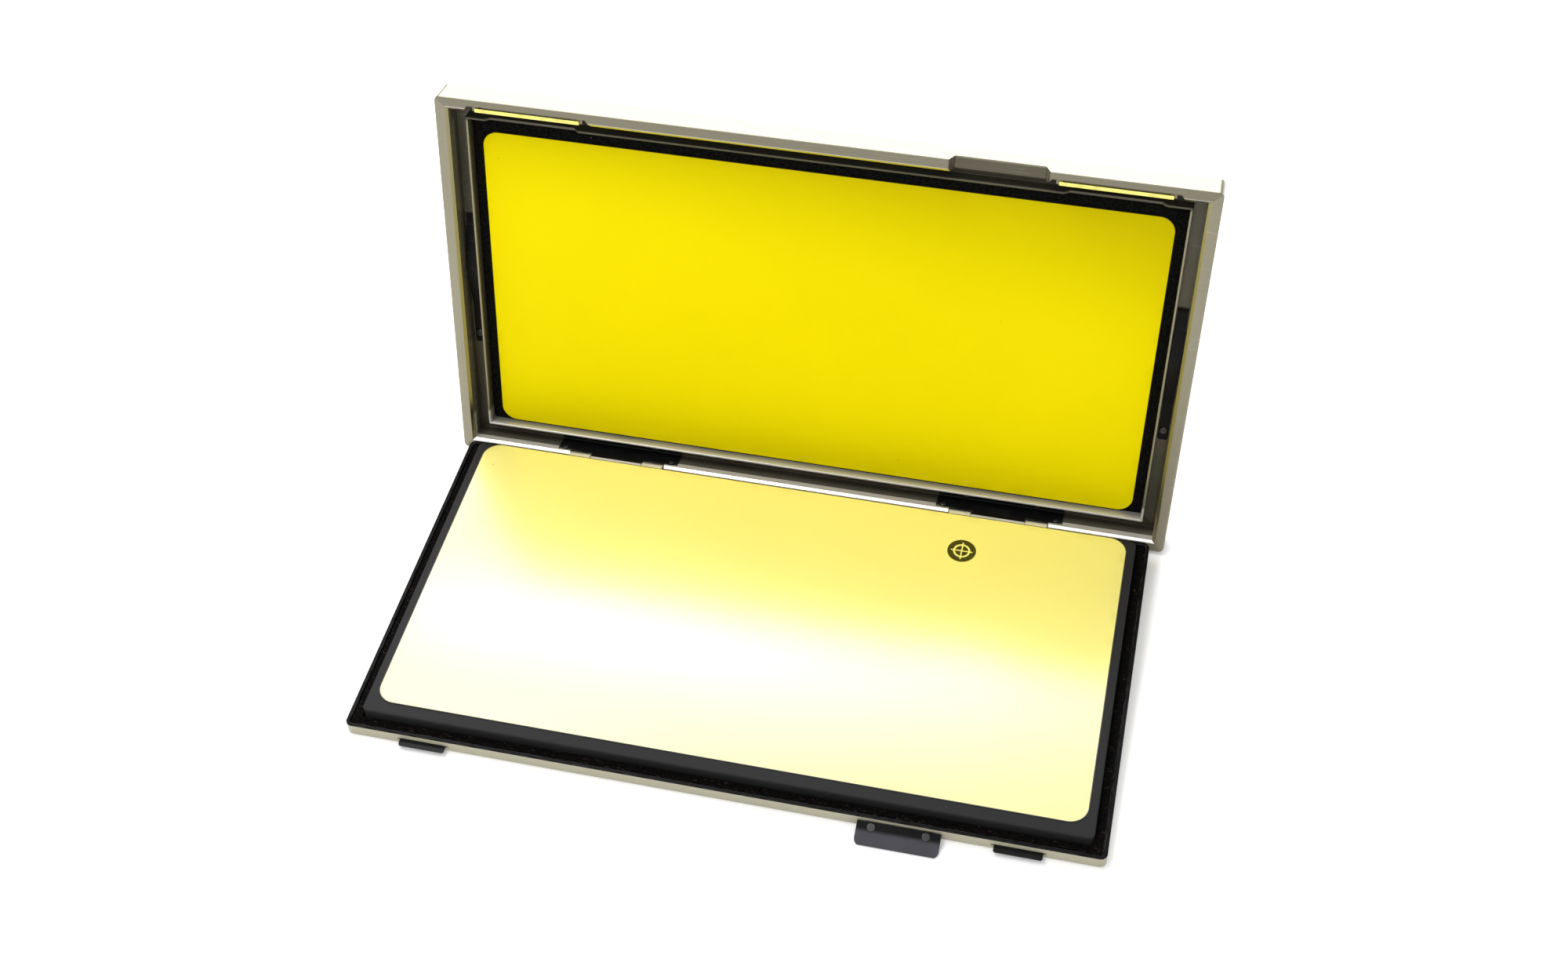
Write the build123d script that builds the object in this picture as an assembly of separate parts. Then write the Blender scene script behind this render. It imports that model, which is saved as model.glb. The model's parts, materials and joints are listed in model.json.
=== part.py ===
from build123d import *
import math
import os

# X-ray film cassette for panoramic film, standing open on its two hinges.
# Millimetres. Each half is drawn lying flat, open side up, with its hinge axis
# on the X axis: the tray towards +Y, the lid towards -Y. Closing turns the tray
# over, so tray (y, z) meets lid (-y, -z). The halves are placed at the end.

# ---------------------------------------------------------------- film and case
front_screen_length = 299.6  # for film 30 x 15 cm
front_screen_width = 151.8
front_screen_radius = 7.2
back_screen_extra = (0.8, 0.4)  # back screen larger, along X and across
back_screen_radius = 8.0
screen_thickness = 0.4
screen_seat = 0.3          # front screen to the hinge-side ridge
screen_front_margin = 6.8  # front screen to the latch-side ridge
screen_end_margin = 4.4    # front screen to the ridge at each end
case_depth = 12.6          # back of the tray to the face of its rim
screen_shift = 0.4         # back screen further from the hinge
film_gap = 0.3             # between the two screens when closed

# ---------------------------------------------------------------- frame section
wall = 5.8                 # hollow outer wall with the rim on top
channel = 5.4              # light trap channel
ridge = 1.1                # thin inner ridge that meets the felt
ridge_round = 0.45
floor_thickness = 1.4
ridge_height = 7.0         # from the back of the tray
rim_bevel_width = 1.3
rim_bevel_depth = 1.0
wall_relief = 0.3          # lower part of the wall is set back
wall_relief_height = 8.6   # from the back of the tray
chamber_width = 3.0        # tunnel for the corner keys
chamber_height = 5.8
chamber_side = 1.4         # wall outside the tunnel
outer_corner_radius = 2.5
edge_radius = 0.5
key_leg = 14.0
key_clearance = 0.1

# ---------------------------------------------------------------- hinges
hinge_rise = 0.2           # hinge axis above the rim face
hinge_inset = 4.2          # hinge axis inside the outer face of the frame
hinge_end_offset = 59.1    # middle of a hinge in from the end of the screen
leaf_thickness = 0.8
knuckle_radius = 1.8
tray_knuckle = 24.6
lid_knuckle = 9.9
knuckle_gap = 0.35
frame_leaf_length = 58.2
leaf_shoulder_drop = 2.0
lid_leaf_reach = 14.0
pin_play = 0.05            # radial, in the tray's knuckle
knuckle_grip = 0.02        # radial, in the lid's knuckles
notch_clearance = 0.4
open_angle = 101.2         # swing of the tray from closed to its stop

# ---------------------------------------------------------------- lid
lid_height = 6.2
lid_proud = 0.4            # underside of the lid above the rim face when closed
lid_gap_side = 0.7
lid_gap_front = 0.6
lid_gap_rear = 3.3         # room for the hinge knuckles
pan_thickness = 0.8
pan_corner_radius = 3.0
pan_edge_radius = 0.6
leaf_step = 9.2            # bend of the hinge leaf down to the lid's floor
leaf_step_run = 0.8
trim_width = 1.7
trim_cap = 0.4
trim_edge_bevel = 0.25
pad_clearance = 0.3
pad_rear_clearance = 0.6    # to the ridge at the hinges
pad_corner_radius = 2.5
felt_compression_gap = 0.3  # felt to ridge when closed
felt_gap = 0.3

# ---------------------------------------------------------------- latches
strike_end_offset = (24.1, 26.1)  # left and right bar in from the end of the screen
strike_length = 46.4
strike_width = 1.7
strike_thickness = 0.7
strike_inset = 4.3          # outer edge of the bar from the outer face
strike_depth = 0.9          # top of the bar below the rim face
strike_ledge = 1.5          # each end of the bar rests on this much
ledge_length = 2.7
strike_clearance = 0.15
hook_end_offset = (24.2, 24.7)    # left and right hook in from the end of the screen
hook_width = 19.9
hook_reach = 3.2            # beyond the lid's front face
hook_flat = 1.7             # flat part before the sloping nose
hook_catch_gap = 0.2        # hook to bar when latched
hook_tip_thickness = 0.3
hook_root_thickness = 0.9
hook_foot = 9.0
hook_nose_radius = 1.0
hook_edge_radius = 0.25
hook_hole_margin = 1.2      # each side of the hook, in the lid's edge
hook_hole_radius = 0.8
slot_clearance = 0.1
hook_pass = 0.15            # bar to hook tip when pushed back
relief_half_length = 28.1   # cut in the rim in front of each bar
relief_inset = 3.0          # edge of that cut from the outer face
relief_slope = 2.0
slot_depth = 4.1            # hook slot below the rim face
ridge_cut_depth = 2.2
ridge_cut_half_top = 22.2
ridge_cut_half_bottom = 18.9

# ---------------------------------------------------------------- finger recess and pull tab
recess_end_offset = 73.9    # middle of the recess in from the right end of the screen
recess_half_top = 20.8
recess_half_bottom = 18.7
recess_depth = 4.3
tab_end_offset = 72.9
tab_width = 34.4
tab_thickness = 0.8
tab_first_leg = 5.2
tab_second_leg = 4.8
tab_first_slope = 21.0
tab_second_slope = 16.0
tab_corner_radius = 3.0
tab_rise = 4.4              # tab root above the underside of the lid
tab_clearance = 0.2
tongue_bend = 1.0
tongue_width = 28.0
tongue_reach = 4.4
tongue_ramp = 3.2           # foot of the ramp behind the front edge
tab_rivet_spacing = 22.4
tab_rivet_reach = 2.1

# ---------------------------------------------------------------- panel, springs, small parts
panel_thickness = 0.9
panel_lap = 4.0
panel_clearance = 0.05
mat_thickness = 1.0
mat_clearance = 0.1
spring_width = 4.6
spring_thickness = 0.5
spring_start = 50.1         # from the hinge axis
spring_base_end = 70.0
spring_apex = 91.9
spring_end = 117.7
spring_apex_gap = 0.35      # apex to the closed lid
spring_bend = 4.0
spring_tip = 2.2
spring_tip_lift = 0.9
spring_screw = 55.1
spring_screw_radius = 1.8
leaf_wall_screw_spacing = 52.0
leaf_wall_screw_drop = 3.9
leaf_floor_screw_spacing = 32.6
leaf_floor_screw_offset = 1.6
small_screw_radius = 1.4
small_screw_bite = 1.0      # thread in the frame
small_screw_head = 0.5
tab_rivet_radius = 1.7
tab_rivet_head = 0.4
tab_rivet_tail = 0.3
tab_rivet_tail_radius = 1.35

# ---------------------------------------------------------------- derived, tray
rail_width = wall + channel + ridge
well_length = front_screen_length + 2 * screen_end_margin
well_width = front_screen_width + screen_seat + screen_front_margin
case_length = well_length + 2 * rail_width   # outside of the frame
case_width = well_width + 2 * rail_width
rim_z = -hinge_rise
back_z = rim_z - case_depth
floor_z = back_z + floor_thickness
ridge_z = back_z + ridge_height
tray_hinge_y = -hinge_inset
tray_latch_y = tray_hinge_y + case_width
tray_mid_y = (tray_hinge_y + tray_latch_y) / 2
well_hinge_y = tray_hinge_y + rail_width
wall_inner_y = tray_hinge_y + wall
wall_latch_y = tray_latch_y - wall
leaf_face_y = knuckle_radius
leaf_seat_y = leaf_face_y - leaf_thickness
screen_end = front_screen_length / 2
hinges = {"left": hinge_end_offset - screen_end, "right": screen_end - hinge_end_offset}
strikes = {"left": strike_end_offset[0] - screen_end, "right": screen_end - strike_end_offset[1]}
recess_x = screen_end - recess_end_offset

# ---------------------------------------------------------------- derived, lid
lid_bottom_z = hinge_rise - lid_proud
lid_top_z = lid_bottom_z + lid_height
lid_length = case_length - 2 * wall - 2 * lid_gap_side
lid_front_y = -(wall_latch_y - lid_gap_front)
lid_rear_y = -(wall_inner_y + lid_gap_rear)
lid_width = lid_rear_y - lid_front_y
lid_mid_y = (lid_front_y + lid_rear_y) / 2
pan_floor_z = lid_bottom_z + pan_thickness
pan_wall_z = lid_top_z - trim_cap
leaf_low_z = knuckle_radius - leaf_thickness
foot_z = pan_floor_z + leaf_thickness
board_z = knuckle_radius   # level with the hinge leaf
back_screen_length = front_screen_length + back_screen_extra[0]
back_screen_width = front_screen_width + back_screen_extra[1]
pad_length = well_length - 2 * pad_clearance
pad_width = well_width - pad_clearance - pad_rear_clearance
pad_rear_y = -(well_hinge_y + pad_rear_clearance)
pad_mid_y = pad_rear_y - pad_width / 2
tray_screen_z = back_z + panel_thickness + mat_thickness + screen_thickness
lid_screen_z = -tray_screen_z - film_gap
pad_z = lid_screen_z - screen_thickness
felt_z = -ridge_z - felt_compression_gap

# ---------------------------------------------------------------- derived, latches and pins
strike_outer_y = tray_latch_y - strike_inset
strike_inner_y = strike_outer_y - strike_width
strike_top_z = rim_z - strike_depth
strike_bottom_z = strike_top_z - strike_thickness
hook_catch_z = -(strike_bottom_z - hook_catch_gap)
hook_tip_y = lid_front_y - hook_reach
strike_travel = -hook_tip_y + hook_pass - strike_inner_y
pin_radius = knuckle_radius - leaf_thickness - pin_play
hinge_length = tray_knuckle + 2 * lid_knuckle + 2 * knuckle_gap
spring_screw_bite = floor_thickness - panel_thickness - panel_clearance
plate_start_y = lid_front_y + trim_width + slot_clearance
plate_end_y = plate_start_y + hook_foot
tab_root_y = lid_front_y - tab_clearance
tab_root_z = lid_bottom_z + tab_rise - tab_thickness
hooks = {"left": hook_end_offset[0] - screen_end, "right": screen_end - hook_end_offset[1]}
tab_x = screen_end - tab_end_offset


def block(x0, x1, y0, y1, z0, z1):
    """A cutter between two corners."""
    centre = Pos((x0 + x1) / 2, (y0 + y1) / 2, (z0 + z1) / 2)
    return centre * Box(x1 - x0, y1 - y0, z1 - z0)


def along_x(face, x, length):
    """A section drawn in (y, z), extruded along X and centred on x."""
    return Pos(x - length / 2, 0, 0) * extrude(Plane.YZ * face, amount=length, dir=(1, 0, 0))


def along_y(face, y0, y1):
    """A section drawn in (x, z), extruded from y0 to y1."""
    return Pos(0, y0, 0) * extrude(Plane.XZ * face, amount=y1 - y0, dir=(0, 1, 0))


def outline(*points):
    return make_face(Polyline(*points, close=True))


def sheet(points, thickness, bend_radius):
    """Section of a bent strip; the points run along its right-hand side."""
    path = FilletPolyline(*points, radius=bend_radius)
    return make_face(offset(path, amount=thickness, side=Side.LEFT))


def round_plate(length, width, radius, y, z0, z1):
    """A plate with round corners, centred on y."""
    face = Pos(0, y, z0) * RectangleRounded(length, width, radius)
    return extrude(face, amount=z1 - z0, dir=(0, 0, 1))


# ---------------------------------------------------------------- frame
def rail_section():
    """Section as (distance in from the outer face, height)."""
    lap_in = rail_width - panel_lap
    lap_z = back_z + panel_thickness
    step_z = back_z + wall_relief_height
    face = outline(
        (0, back_z),
        (lap_in, back_z),
        (lap_in, lap_z),
        (rail_width, lap_z),
        (rail_width, ridge_z),
        (rail_width - ridge, ridge_z),
        (rail_width - ridge, floor_z),
        (wall - wall_relief, floor_z),
        (wall - wall_relief, step_z),
        (wall, step_z),
        (wall, rim_z - rim_bevel_depth),
        (wall - rim_bevel_width, rim_z),
        (0, rim_z),
    )
    tops = face.vertices().filter_by(lambda v: abs(v.Y - ridge_z) < ridge_round / 4)
    face = fillet(tops, ridge_round)
    tunnel = Rectangle(chamber_width, chamber_height)
    place = Pos(chamber_side + chamber_width / 2, floor_z + chamber_height / 2)
    return face - place * tunnel


def rail(length):
    """One mitred rail with its outer face on y = 0."""
    half = length / 2
    blank = along_x(rail_section(), 0, length)
    short = half - rail_width
    mitre = outline((-half, 0), (half, 0), (short, rail_width), (-short, rail_width))
    corners = Pos(0, 2 * rail_width) * RectangleRounded(length, 4 * rail_width, outer_corner_radius)
    plan = Pos(0, 0, back_z) * (mitre & corners)
    solid = blank & extrude(plan, amount=case_depth, dir=(0, 0, 1))

    def outer_edge(edge):
        middle = edge @ 0.5
        level = min(abs(middle.Z - back_z), abs(middle.Z - rim_z))
        return middle.Y < edge_radius and level < edge_radius / 10

    return fillet(solid.edges().filter_by(outer_edge), edge_radius)


def strike_cuts(x):
    """Relief, travel pocket and hook slot round one strike bar."""
    inner = wall_latch_y - rim_bevel_width
    edge = tray_latch_y - relief_inset
    low = strike_bottom_z - strike_clearance
    half = relief_half_length
    short = half - relief_slope
    plan = outline((x - half, inner), (x + half, inner), (x + half, wall_latch_y),
                   (x + short, edge), (x - short, edge), (x - half, wall_latch_y))
    relief = extrude(Pos(0, 0, low) * plan, amount=rim_z - low + 1, dir=(0, 0, 1))
    reach = strike_length / 2 + strike_clearance
    back = strike_outer_y + strike_travel + strike_clearance
    pocket = block(x - reach, x + reach, inner, back, low, strike_top_z + strike_clearance)
    slot_z = rim_z - slot_depth
    slot = block(x - half, x + half, inner, -hook_tip_y + hook_pass, slot_z, low)
    for side in (-1, 1):
        ledge = x + side * (strike_length / 2 - strike_ledge + ledge_length / 2)
        end = ledge_length / 2
        slot -= block(ledge - end, ledge + end, wall_latch_y, tray_latch_y, slot_z, low)
    return relief + pocket + slot


def ridge_cut(x):
    """The ridge stands lower where a hook passes over it."""
    low = ridge_z - ridge_cut_depth
    face = outline((x - ridge_cut_half_bottom, low), (x + ridge_cut_half_bottom, low),
                   (x + ridge_cut_half_top, ridge_z + ridge), (x - ridge_cut_half_top, ridge_z + ridge))
    return along_y(face, tray_latch_y - rail_width - ridge, wall_latch_y - channel + ridge)


def finger_recess():
    low = rim_z - recess_depth
    high = rim_z + recess_depth
    face = outline(
        (recess_x - recess_half_bottom, low),
        (recess_x + recess_half_bottom, low),
        (recess_x + recess_half_top, rim_z),
        (recess_x + recess_half_top, high),
        (recess_x - recess_half_top, high),
        (recess_x - recess_half_top, rim_z),
    )
    return along_y(face, wall_latch_y - wall, tray_latch_y + wall)


def hinge_cuts(x):
    """Notch for the knuckles and the seat of the leaf in the wall."""
    half = hinge_length / 2 + notch_clearance
    low = -knuckle_radius - notch_clearance
    notch = block(x - half, x + half, low, wall_inner_y + 1, low, rim_z + 1)
    reach = frame_leaf_length / 2 + slot_clearance
    seat = block(x - reach, x + reach, leaf_seat_y, wall_inner_y + 1, floor_z, low)
    return notch + seat


def corner_key(x_side, y_side):
    """Angle key in the tunnels of two rails, legs pointing away from the corner."""
    inset = chamber_side + key_clearance
    across = chamber_width - 2 * key_clearance
    inner = inset + across
    tip = inset + key_leg
    plan = outline((inset, inset), (tip, inset), (tip, inner), (inner, inner), (inner, tip), (inset, tip))
    key = extrude(plan, amount=chamber_height - 2 * key_clearance, dir=(0, 0, 1))
    if x_side > 0:
        key = mirror(key, Plane.YZ)
    if y_side > 0:
        key = mirror(key, Plane.XZ)
    corner_y = tray_latch_y if y_side > 0 else tray_hinge_y
    return Pos(x_side * case_length / 2, corner_y, floor_z + key_clearance) * key


# ---------------------------------------------------------------- hinges
def knuckle(x, length, bore):
    ring = Circle(knuckle_radius) - Circle(bore)
    return along_x(ring, x, length)


def frame_leaf(x):
    """Angle leaf in the channel, with the middle knuckle on its strap."""
    bend = leaf_thickness
    foot_y = tray_hinge_y + wall + channel - slot_clearance
    top = -knuckle_radius - notch_clearance
    angle = outline((leaf_seat_y, floor_z), (foot_y, floor_z), (foot_y, floor_z + bend),
                    (leaf_face_y, floor_z + bend), (leaf_face_y, top), (leaf_seat_y, top))
    inner = angle.vertices().sort_by_distance((leaf_face_y, floor_z + bend))[0]
    leaf = along_x(fillet(inner, bend), x, frame_leaf_length)
    half = frame_leaf_length / 2
    shoulder = hinge_length / 2 + notch_clearance
    drop = top - leaf_shoulder_drop
    for side in (-1, 1):
        corner = outline((x + side * half, drop), (x + side * half, top), (x + side * shoulder, top))
        leaf -= along_y(corner, leaf_seat_y, leaf_face_y)
    strap = outline((leaf_seat_y, top), (leaf_face_y, top), (leaf_face_y, 0), (leaf_seat_y, 0))
    bore = Circle(pin_radius + pin_play)
    leaf += along_x(strap - bore, x, tray_knuckle)
    return leaf + knuckle(x, tray_knuckle, pin_radius + pin_play)


def lid_leaf(x):
    """Leaf stepped down to the lid's floor, with the two outer knuckles."""
    bore = pin_radius + knuckle_grip
    underside = [(-lid_leaf_reach, pan_floor_z), (-leaf_step - leaf_step_run, pan_floor_z),
                 (-leaf_step, leaf_low_z), (0, leaf_low_z)]
    plate = sheet(underside, leaf_thickness, leaf_thickness)
    leaf = along_x(plate - Circle(bore), x, hinge_length)
    half = tray_knuckle / 2 + knuckle_gap
    depth = knuckle_radius + notch_clearance
    leaf -= block(x - half, x + half, -depth, knuckle_radius, 0, depth)
    for side in (-1, 1):
        leaf += knuckle(x + side * (half + lid_knuckle / 2), lid_knuckle, bore)
    return leaf


# ---------------------------------------------------------------- fasteners
def screw(radius, head, shank):
    """Slotted pan head above z = 0, shank below."""
    button = extrude(Circle(radius), amount=head)
    button = chamfer(button.edges().group_by(Axis.Z)[-1], head / 2)
    button -= Pos(0, 0, head) * Box(radius * 1.5, radius * 0.3, head)
    return button + Pos(0, 0, -shank) * extrude(Circle(radius / 2), amount=shank)


def tab_rivet():
    """Low head above z = 0, shank through the tab and the tongue, flat tail."""
    grip = tab_thickness + leaf_thickness
    head = extrude(Circle(tab_rivet_radius), amount=tab_rivet_head)
    head = chamfer(head.edges().group_by(Axis.Z)[-1], tab_rivet_head / 2)
    shank = Pos(0, 0, -grip) * extrude(Circle(tab_rivet_radius / 2), amount=grip)
    tail = extrude(Circle(tab_rivet_tail_radius), amount=tab_rivet_tail)
    tail = Pos(0, 0, -grip - tab_rivet_tail) * tail
    return head + shank + tail


# ---------------------------------------------------------------- tray parts
def ejector_spring(x):
    """Bowed leaf spring screwed to the floor of the side channel."""
    apex = -lid_top_z - spring_apex_gap - spring_thickness
    points = [(spring_start, floor_z), (spring_base_end, floor_z), (spring_apex, apex),
              (spring_end - spring_tip, floor_z), (spring_end, floor_z + spring_tip_lift)]
    leaf = along_x(sheet(points, spring_thickness, spring_bend), x, spring_width)
    corners = leaf.edges().filter_by(Axis.Z).group_by(Axis.Y)[0]
    return fillet(corners, spring_width / 4)


def strike_bar(x):
    plan = RectangleRounded(strike_length, strike_width, strike_width / 4)
    place = Pos(x, (strike_inner_y + strike_outer_y) / 2, strike_bottom_z)
    return place * extrude(plan, amount=strike_thickness)


# ---------------------------------------------------------------- lid parts
def lid_ring(margin_outer, margin_inner, z0, z1):
    """Band following the outline of the lid between two insets."""
    outer = round_plate(lid_length - 2 * margin_outer, lid_width - 2 * margin_outer,
                        pan_corner_radius - margin_outer, lid_mid_y, z0, z1)
    inner = round_plate(lid_length - 2 * margin_inner, lid_width - 2 * margin_inner,
                        pan_corner_radius - margin_inner, lid_mid_y, z0, z1)
    return outer - inner


def lid_pan():
    """Pressed sheet with an upright edge."""
    solid = round_plate(lid_length, lid_width, pan_corner_radius, lid_mid_y, lid_bottom_z, pan_wall_z)
    solid = fillet(solid.edges().group_by(Axis.Z)[0], pan_edge_radius)
    inside = round_plate(lid_length - 2 * pan_thickness, lid_width - 2 * pan_thickness,
                         pan_corner_radius - pan_thickness, lid_mid_y, pan_floor_z, pan_wall_z)
    return solid - inside


def lid_trim():
    """Edge trim: a cap over the pan's edge and a leg inside it, still in one ring."""
    cap = lid_ring(0, trim_width, pan_wall_z, lid_top_z)
    cap = chamfer(cap.edges().group_by(Axis.Z)[-1], trim_edge_bevel)
    return cap + lid_ring(pan_thickness, trim_width, pan_floor_z, pan_wall_z)


def mitre_zone(side):
    """Plan of one side of the ring, cut at 45 degrees at both ends."""
    half_x = lid_length / 2
    half_y = lid_width / 2
    depth = 2 * trim_width
    if side in ("front", "back"):
        turn = 0 if side == "front" else 180
        plan = outline((-half_x, -half_y), (half_x, -half_y), (half_x - depth, depth - half_y),
                       (depth - half_x, depth - half_y))
    else:
        turn = 90 if side == "right" else 270
        plan = outline((-half_y, -half_x), (half_y, -half_x), (half_y - depth, depth - half_x),
                       (depth - half_y, depth - half_x))
    zone = extrude(plan, amount=lid_height, dir=(0, 0, 1))
    return Pos(0, lid_mid_y, lid_bottom_z) * Rot(Z=turn) * zone


def leaf_passage(x):
    """Opening for a hinge leaf through the rear edge of the lid."""
    half = hinge_length / 2 + slot_clearance
    low = leaf_low_z - slot_clearance
    return block(x - half, x + half, lid_rear_y - trim_width, lid_rear_y, low, board_z + slot_clearance)


def front_passage(x, width, z0, z1):
    """Opening with round corners through the front edge of the lid."""
    high = z1 - z0 + 2 * slot_clearance
    radius = min(hook_hole_radius, high / 3)
    face = Pos(x, (z0 + z1) / 2) * RectangleRounded(width, high, radius)
    return along_y(face, lid_front_y, lid_front_y + trim_width)


def latch_hook(x):
    """Flat nose with a sloping tip outside the lid, and a foot welded inside it."""
    root = hook_catch_z + hook_root_thickness
    shoulder = plate_start_y + hook_root_thickness
    section = outline(
        (hook_tip_y, hook_catch_z),
        (hook_tip_y, hook_catch_z + hook_tip_thickness),
        (lid_front_y - hook_flat, root),
        (shoulder, root),
        (shoulder + leaf_thickness, foot_z),
        (plate_end_y, foot_z),
        (plate_end_y, pan_floor_z),
        (plate_start_y, pan_floor_z),
        (plate_start_y, hook_catch_z),
    )
    hook = along_x(section, x, hook_width)
    hook = fillet(hook.edges().filter_by(Axis.Z).group_by(Axis.Y)[0], hook_nose_radius)
    crest = hook.edges().filter_by(Axis.X).sort_by_distance((x, lid_front_y - hook_flat, root))[0]
    return fillet(crest, hook_edge_radius)


def tab_direction(slope):
    return -math.cos(math.radians(slope)), -math.sin(math.radians(slope))


def tab_tongue():
    """Bent strip from inside the lid that carries the pull tab."""
    run, fall = tab_direction(tab_first_slope)
    points = [(plate_end_y, foot_z), (plate_start_y + tongue_ramp, foot_z),
              (plate_start_y + leaf_thickness, tab_root_z), (tab_root_y, tab_root_z),
              (tab_root_y + tongue_reach * run, tab_root_z + tongue_reach * fall)]
    return along_x(sheet(points, leaf_thickness, tongue_bend), tab_x, tongue_width)


def pull_tab():
    """Two flat legs, the outer one less steep, with round outer corners."""
    run, fall = tab_direction(tab_first_slope)
    bend_y = tab_root_y + tab_first_leg * run
    bend_z = tab_root_z + tab_first_leg * fall
    run, fall = tab_direction(tab_second_slope)
    end_y = bend_y + tab_second_leg * run
    end_z = bend_z + tab_second_leg * fall
    points = [(end_y, end_z), (bend_y, bend_z), (tab_root_y, tab_root_z)]
    tab = along_x(sheet(points, tab_thickness, tab_thickness), tab_x, tab_width)
    reach = tab_root_y - end_y
    middle = end_y - tab_thickness / 2 + 2 * reach
    plan = Pos(tab_x, middle) * RectangleRounded(tab_width, 4 * reach, tab_corner_radius)
    return tab & extrude(plan, amount=lid_height, dir=(0, 0, 1))


def tab_rivet_place(x):
    """On the upper face of the tab's first leg."""
    run, fall = tab_direction(tab_first_slope)
    along = tab_rivet_reach / math.cos(math.radians(tab_first_slope))
    y = tab_root_y + along * run
    z = tab_root_z + along * fall
    return Pos(x, y, z) * Rot(X=tab_first_slope) * Pos(0, 0, tab_thickness)


# ---------------------------------------------------------------- build the tray
channel_x = case_length / 2 - wall - channel / 2

rails = {
    "top": Pos(0, tray_latch_y, 0) * Rot(Z=180) * rail(case_length),
    "bottom": Pos(0, tray_hinge_y, 0) * rail(case_length),
    "left": Pos(-case_length / 2, tray_mid_y, 0) * Rot(Z=-90) * rail(case_width),
    "right": Pos(case_length / 2, tray_mid_y, 0) * Rot(Z=90) * rail(case_width),
}
for x in strikes.values():
    rails["top"] -= strike_cuts(x) + ridge_cut(x)
rails["top"] -= finger_recess()
for x in hinges.values():
    rails["bottom"] -= hinge_cuts(x)

frame_leaves = {side: frame_leaf(x) for side, x in hinges.items()}
springs = {"left": ejector_spring(-channel_x), "right": ejector_spring(channel_x)}

leaf_screw = screw(small_screw_radius, small_screw_head, leaf_thickness + small_screw_bite)
leaf_screws = []
for side, x in hinges.items():
    for end in (-1, 1):
        wall_x = x + end * leaf_wall_screw_spacing / 2
        wall_z = rim_z - leaf_wall_screw_drop
        floor_x = x + end * leaf_floor_screw_spacing / 2
        floor_y = leaf_face_y + leaf_floor_screw_offset
        pair = [Pos(wall_x, leaf_face_y, wall_z) * Rot(X=-90) * leaf_screw,
                Pos(floor_x, floor_y, floor_z + leaf_thickness) * leaf_screw]
        leaf_screws += pair
        for one in pair:
            frame_leaves[side] -= one
            rails["bottom"] -= one

spring_screw_solid = screw(spring_screw_radius, small_screw_head, spring_thickness + spring_screw_bite)
spring_screws = []
for side, x in (("left", -channel_x), ("right", channel_x)):
    one = Pos(x, spring_screw, floor_z + spring_thickness) * spring_screw_solid
    spring_screws.append(one)
    springs[side] -= one
    rails[side] -= one

panel_length = case_length - 2 * (rail_width - panel_lap + panel_clearance)
panel_width = case_width - 2 * (rail_width - panel_lap + panel_clearance)
panel = Pos(0, tray_mid_y, back_z) * extrude(Rectangle(panel_length, panel_width), amount=panel_thickness)
mat_face = Rectangle(well_length - 2 * mat_clearance, well_width - 2 * mat_clearance)
mat = Pos(0, tray_mid_y, back_z + panel_thickness) * extrude(mat_face, amount=mat_thickness)
front_screen = round_plate(front_screen_length, front_screen_width, front_screen_radius,
                           well_hinge_y + screen_seat + front_screen_width / 2,
                           tray_screen_z - screen_thickness, tray_screen_z)
keys = [corner_key(x, y) for x in (-1, 1) for y in (-1, 1)]

# ---------------------------------------------------------------- build the lid
pan = lid_pan()
trim = lid_trim()
felt_outer_x = lid_length / 2 - trim_width - felt_gap
felt_inner_x = pad_length / 2 + felt_gap
felt_front_y = lid_front_y + trim_width + felt_gap
felt_rear_y = lid_rear_y - trim_width - felt_gap
felt_side_front_y = felt_front_y + felt_gap
felt_side_rear_y = felt_rear_y - felt_gap
board = round_plate(2 * felt_outer_x, felt_rear_y - felt_front_y, pan_corner_radius - trim_width, lid_mid_y,
                    pan_floor_z, board_z)
felt_fold_y = pad_rear_y - pad_width - felt_gap
felts = {
    "front": block(-felt_inner_x, felt_inner_x, felt_front_y, felt_fold_y, board_z, felt_z),
    "back": block(-felt_inner_x, felt_inner_x, pad_rear_y + felt_gap, felt_rear_y, board_z, felt_z),
    "left": block(-felt_outer_x, -felt_inner_x, felt_side_front_y, felt_side_rear_y, board_z, felt_z),
    "right": block(felt_inner_x, felt_outer_x, felt_side_front_y, felt_side_rear_y, board_z, felt_z),
}
pad = round_plate(pad_length, pad_width, pad_corner_radius, pad_mid_y, board_z, pad_z)
back_screen_y = -well_hinge_y - screen_seat - screen_shift - back_screen_width / 2
back_screen = round_plate(back_screen_length, back_screen_width, back_screen_radius, back_screen_y,
                          pad_z, lid_screen_z)

lid_leaves = {side: lid_leaf(x) for side, x in hinges.items()}
pins = {side: along_x(Circle(pin_radius), x, hinge_length) for side, x in hinges.items()}
hook_parts = {side: latch_hook(x) for side, x in hooks.items()}
tongue = tab_tongue()
tab = pull_tab()

for x in hinges.values():
    pan -= leaf_passage(x)
    trim -= leaf_passage(x)
    reach = hinge_length / 2 + felt_gap
    board -= block(x - reach, x + reach, -lid_leaf_reach - felt_gap, felt_rear_y, pan_floor_z, board_z)
hook_root_z = hook_catch_z + hook_root_thickness
for x in hooks.values():
    passage = front_passage(x, hook_width + 2 * hook_hole_margin, hook_catch_z, hook_root_z)
    pan -= passage
    trim -= passage
    reach = hook_width / 2 + felt_gap
    board -= block(x - reach, x + reach, felt_front_y, plate_end_y + felt_gap, pan_floor_z, board_z)
    over = hook_root_z + felt_gap
    felts["front"] -= block(x - reach, x + reach, felt_front_y, pad_rear_y - pad_width, board_z, over)
tongue_hole = tongue_width + 2 * slot_clearance
passage = front_passage(tab_x, tongue_hole, tab_root_z - leaf_thickness, tab_root_z)
pan -= passage
trim -= passage
reach = tongue_width / 2 + felt_gap
board -= block(tab_x - reach, tab_x + reach, felt_front_y, plate_end_y + felt_gap, pan_floor_z, board_z)
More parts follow.
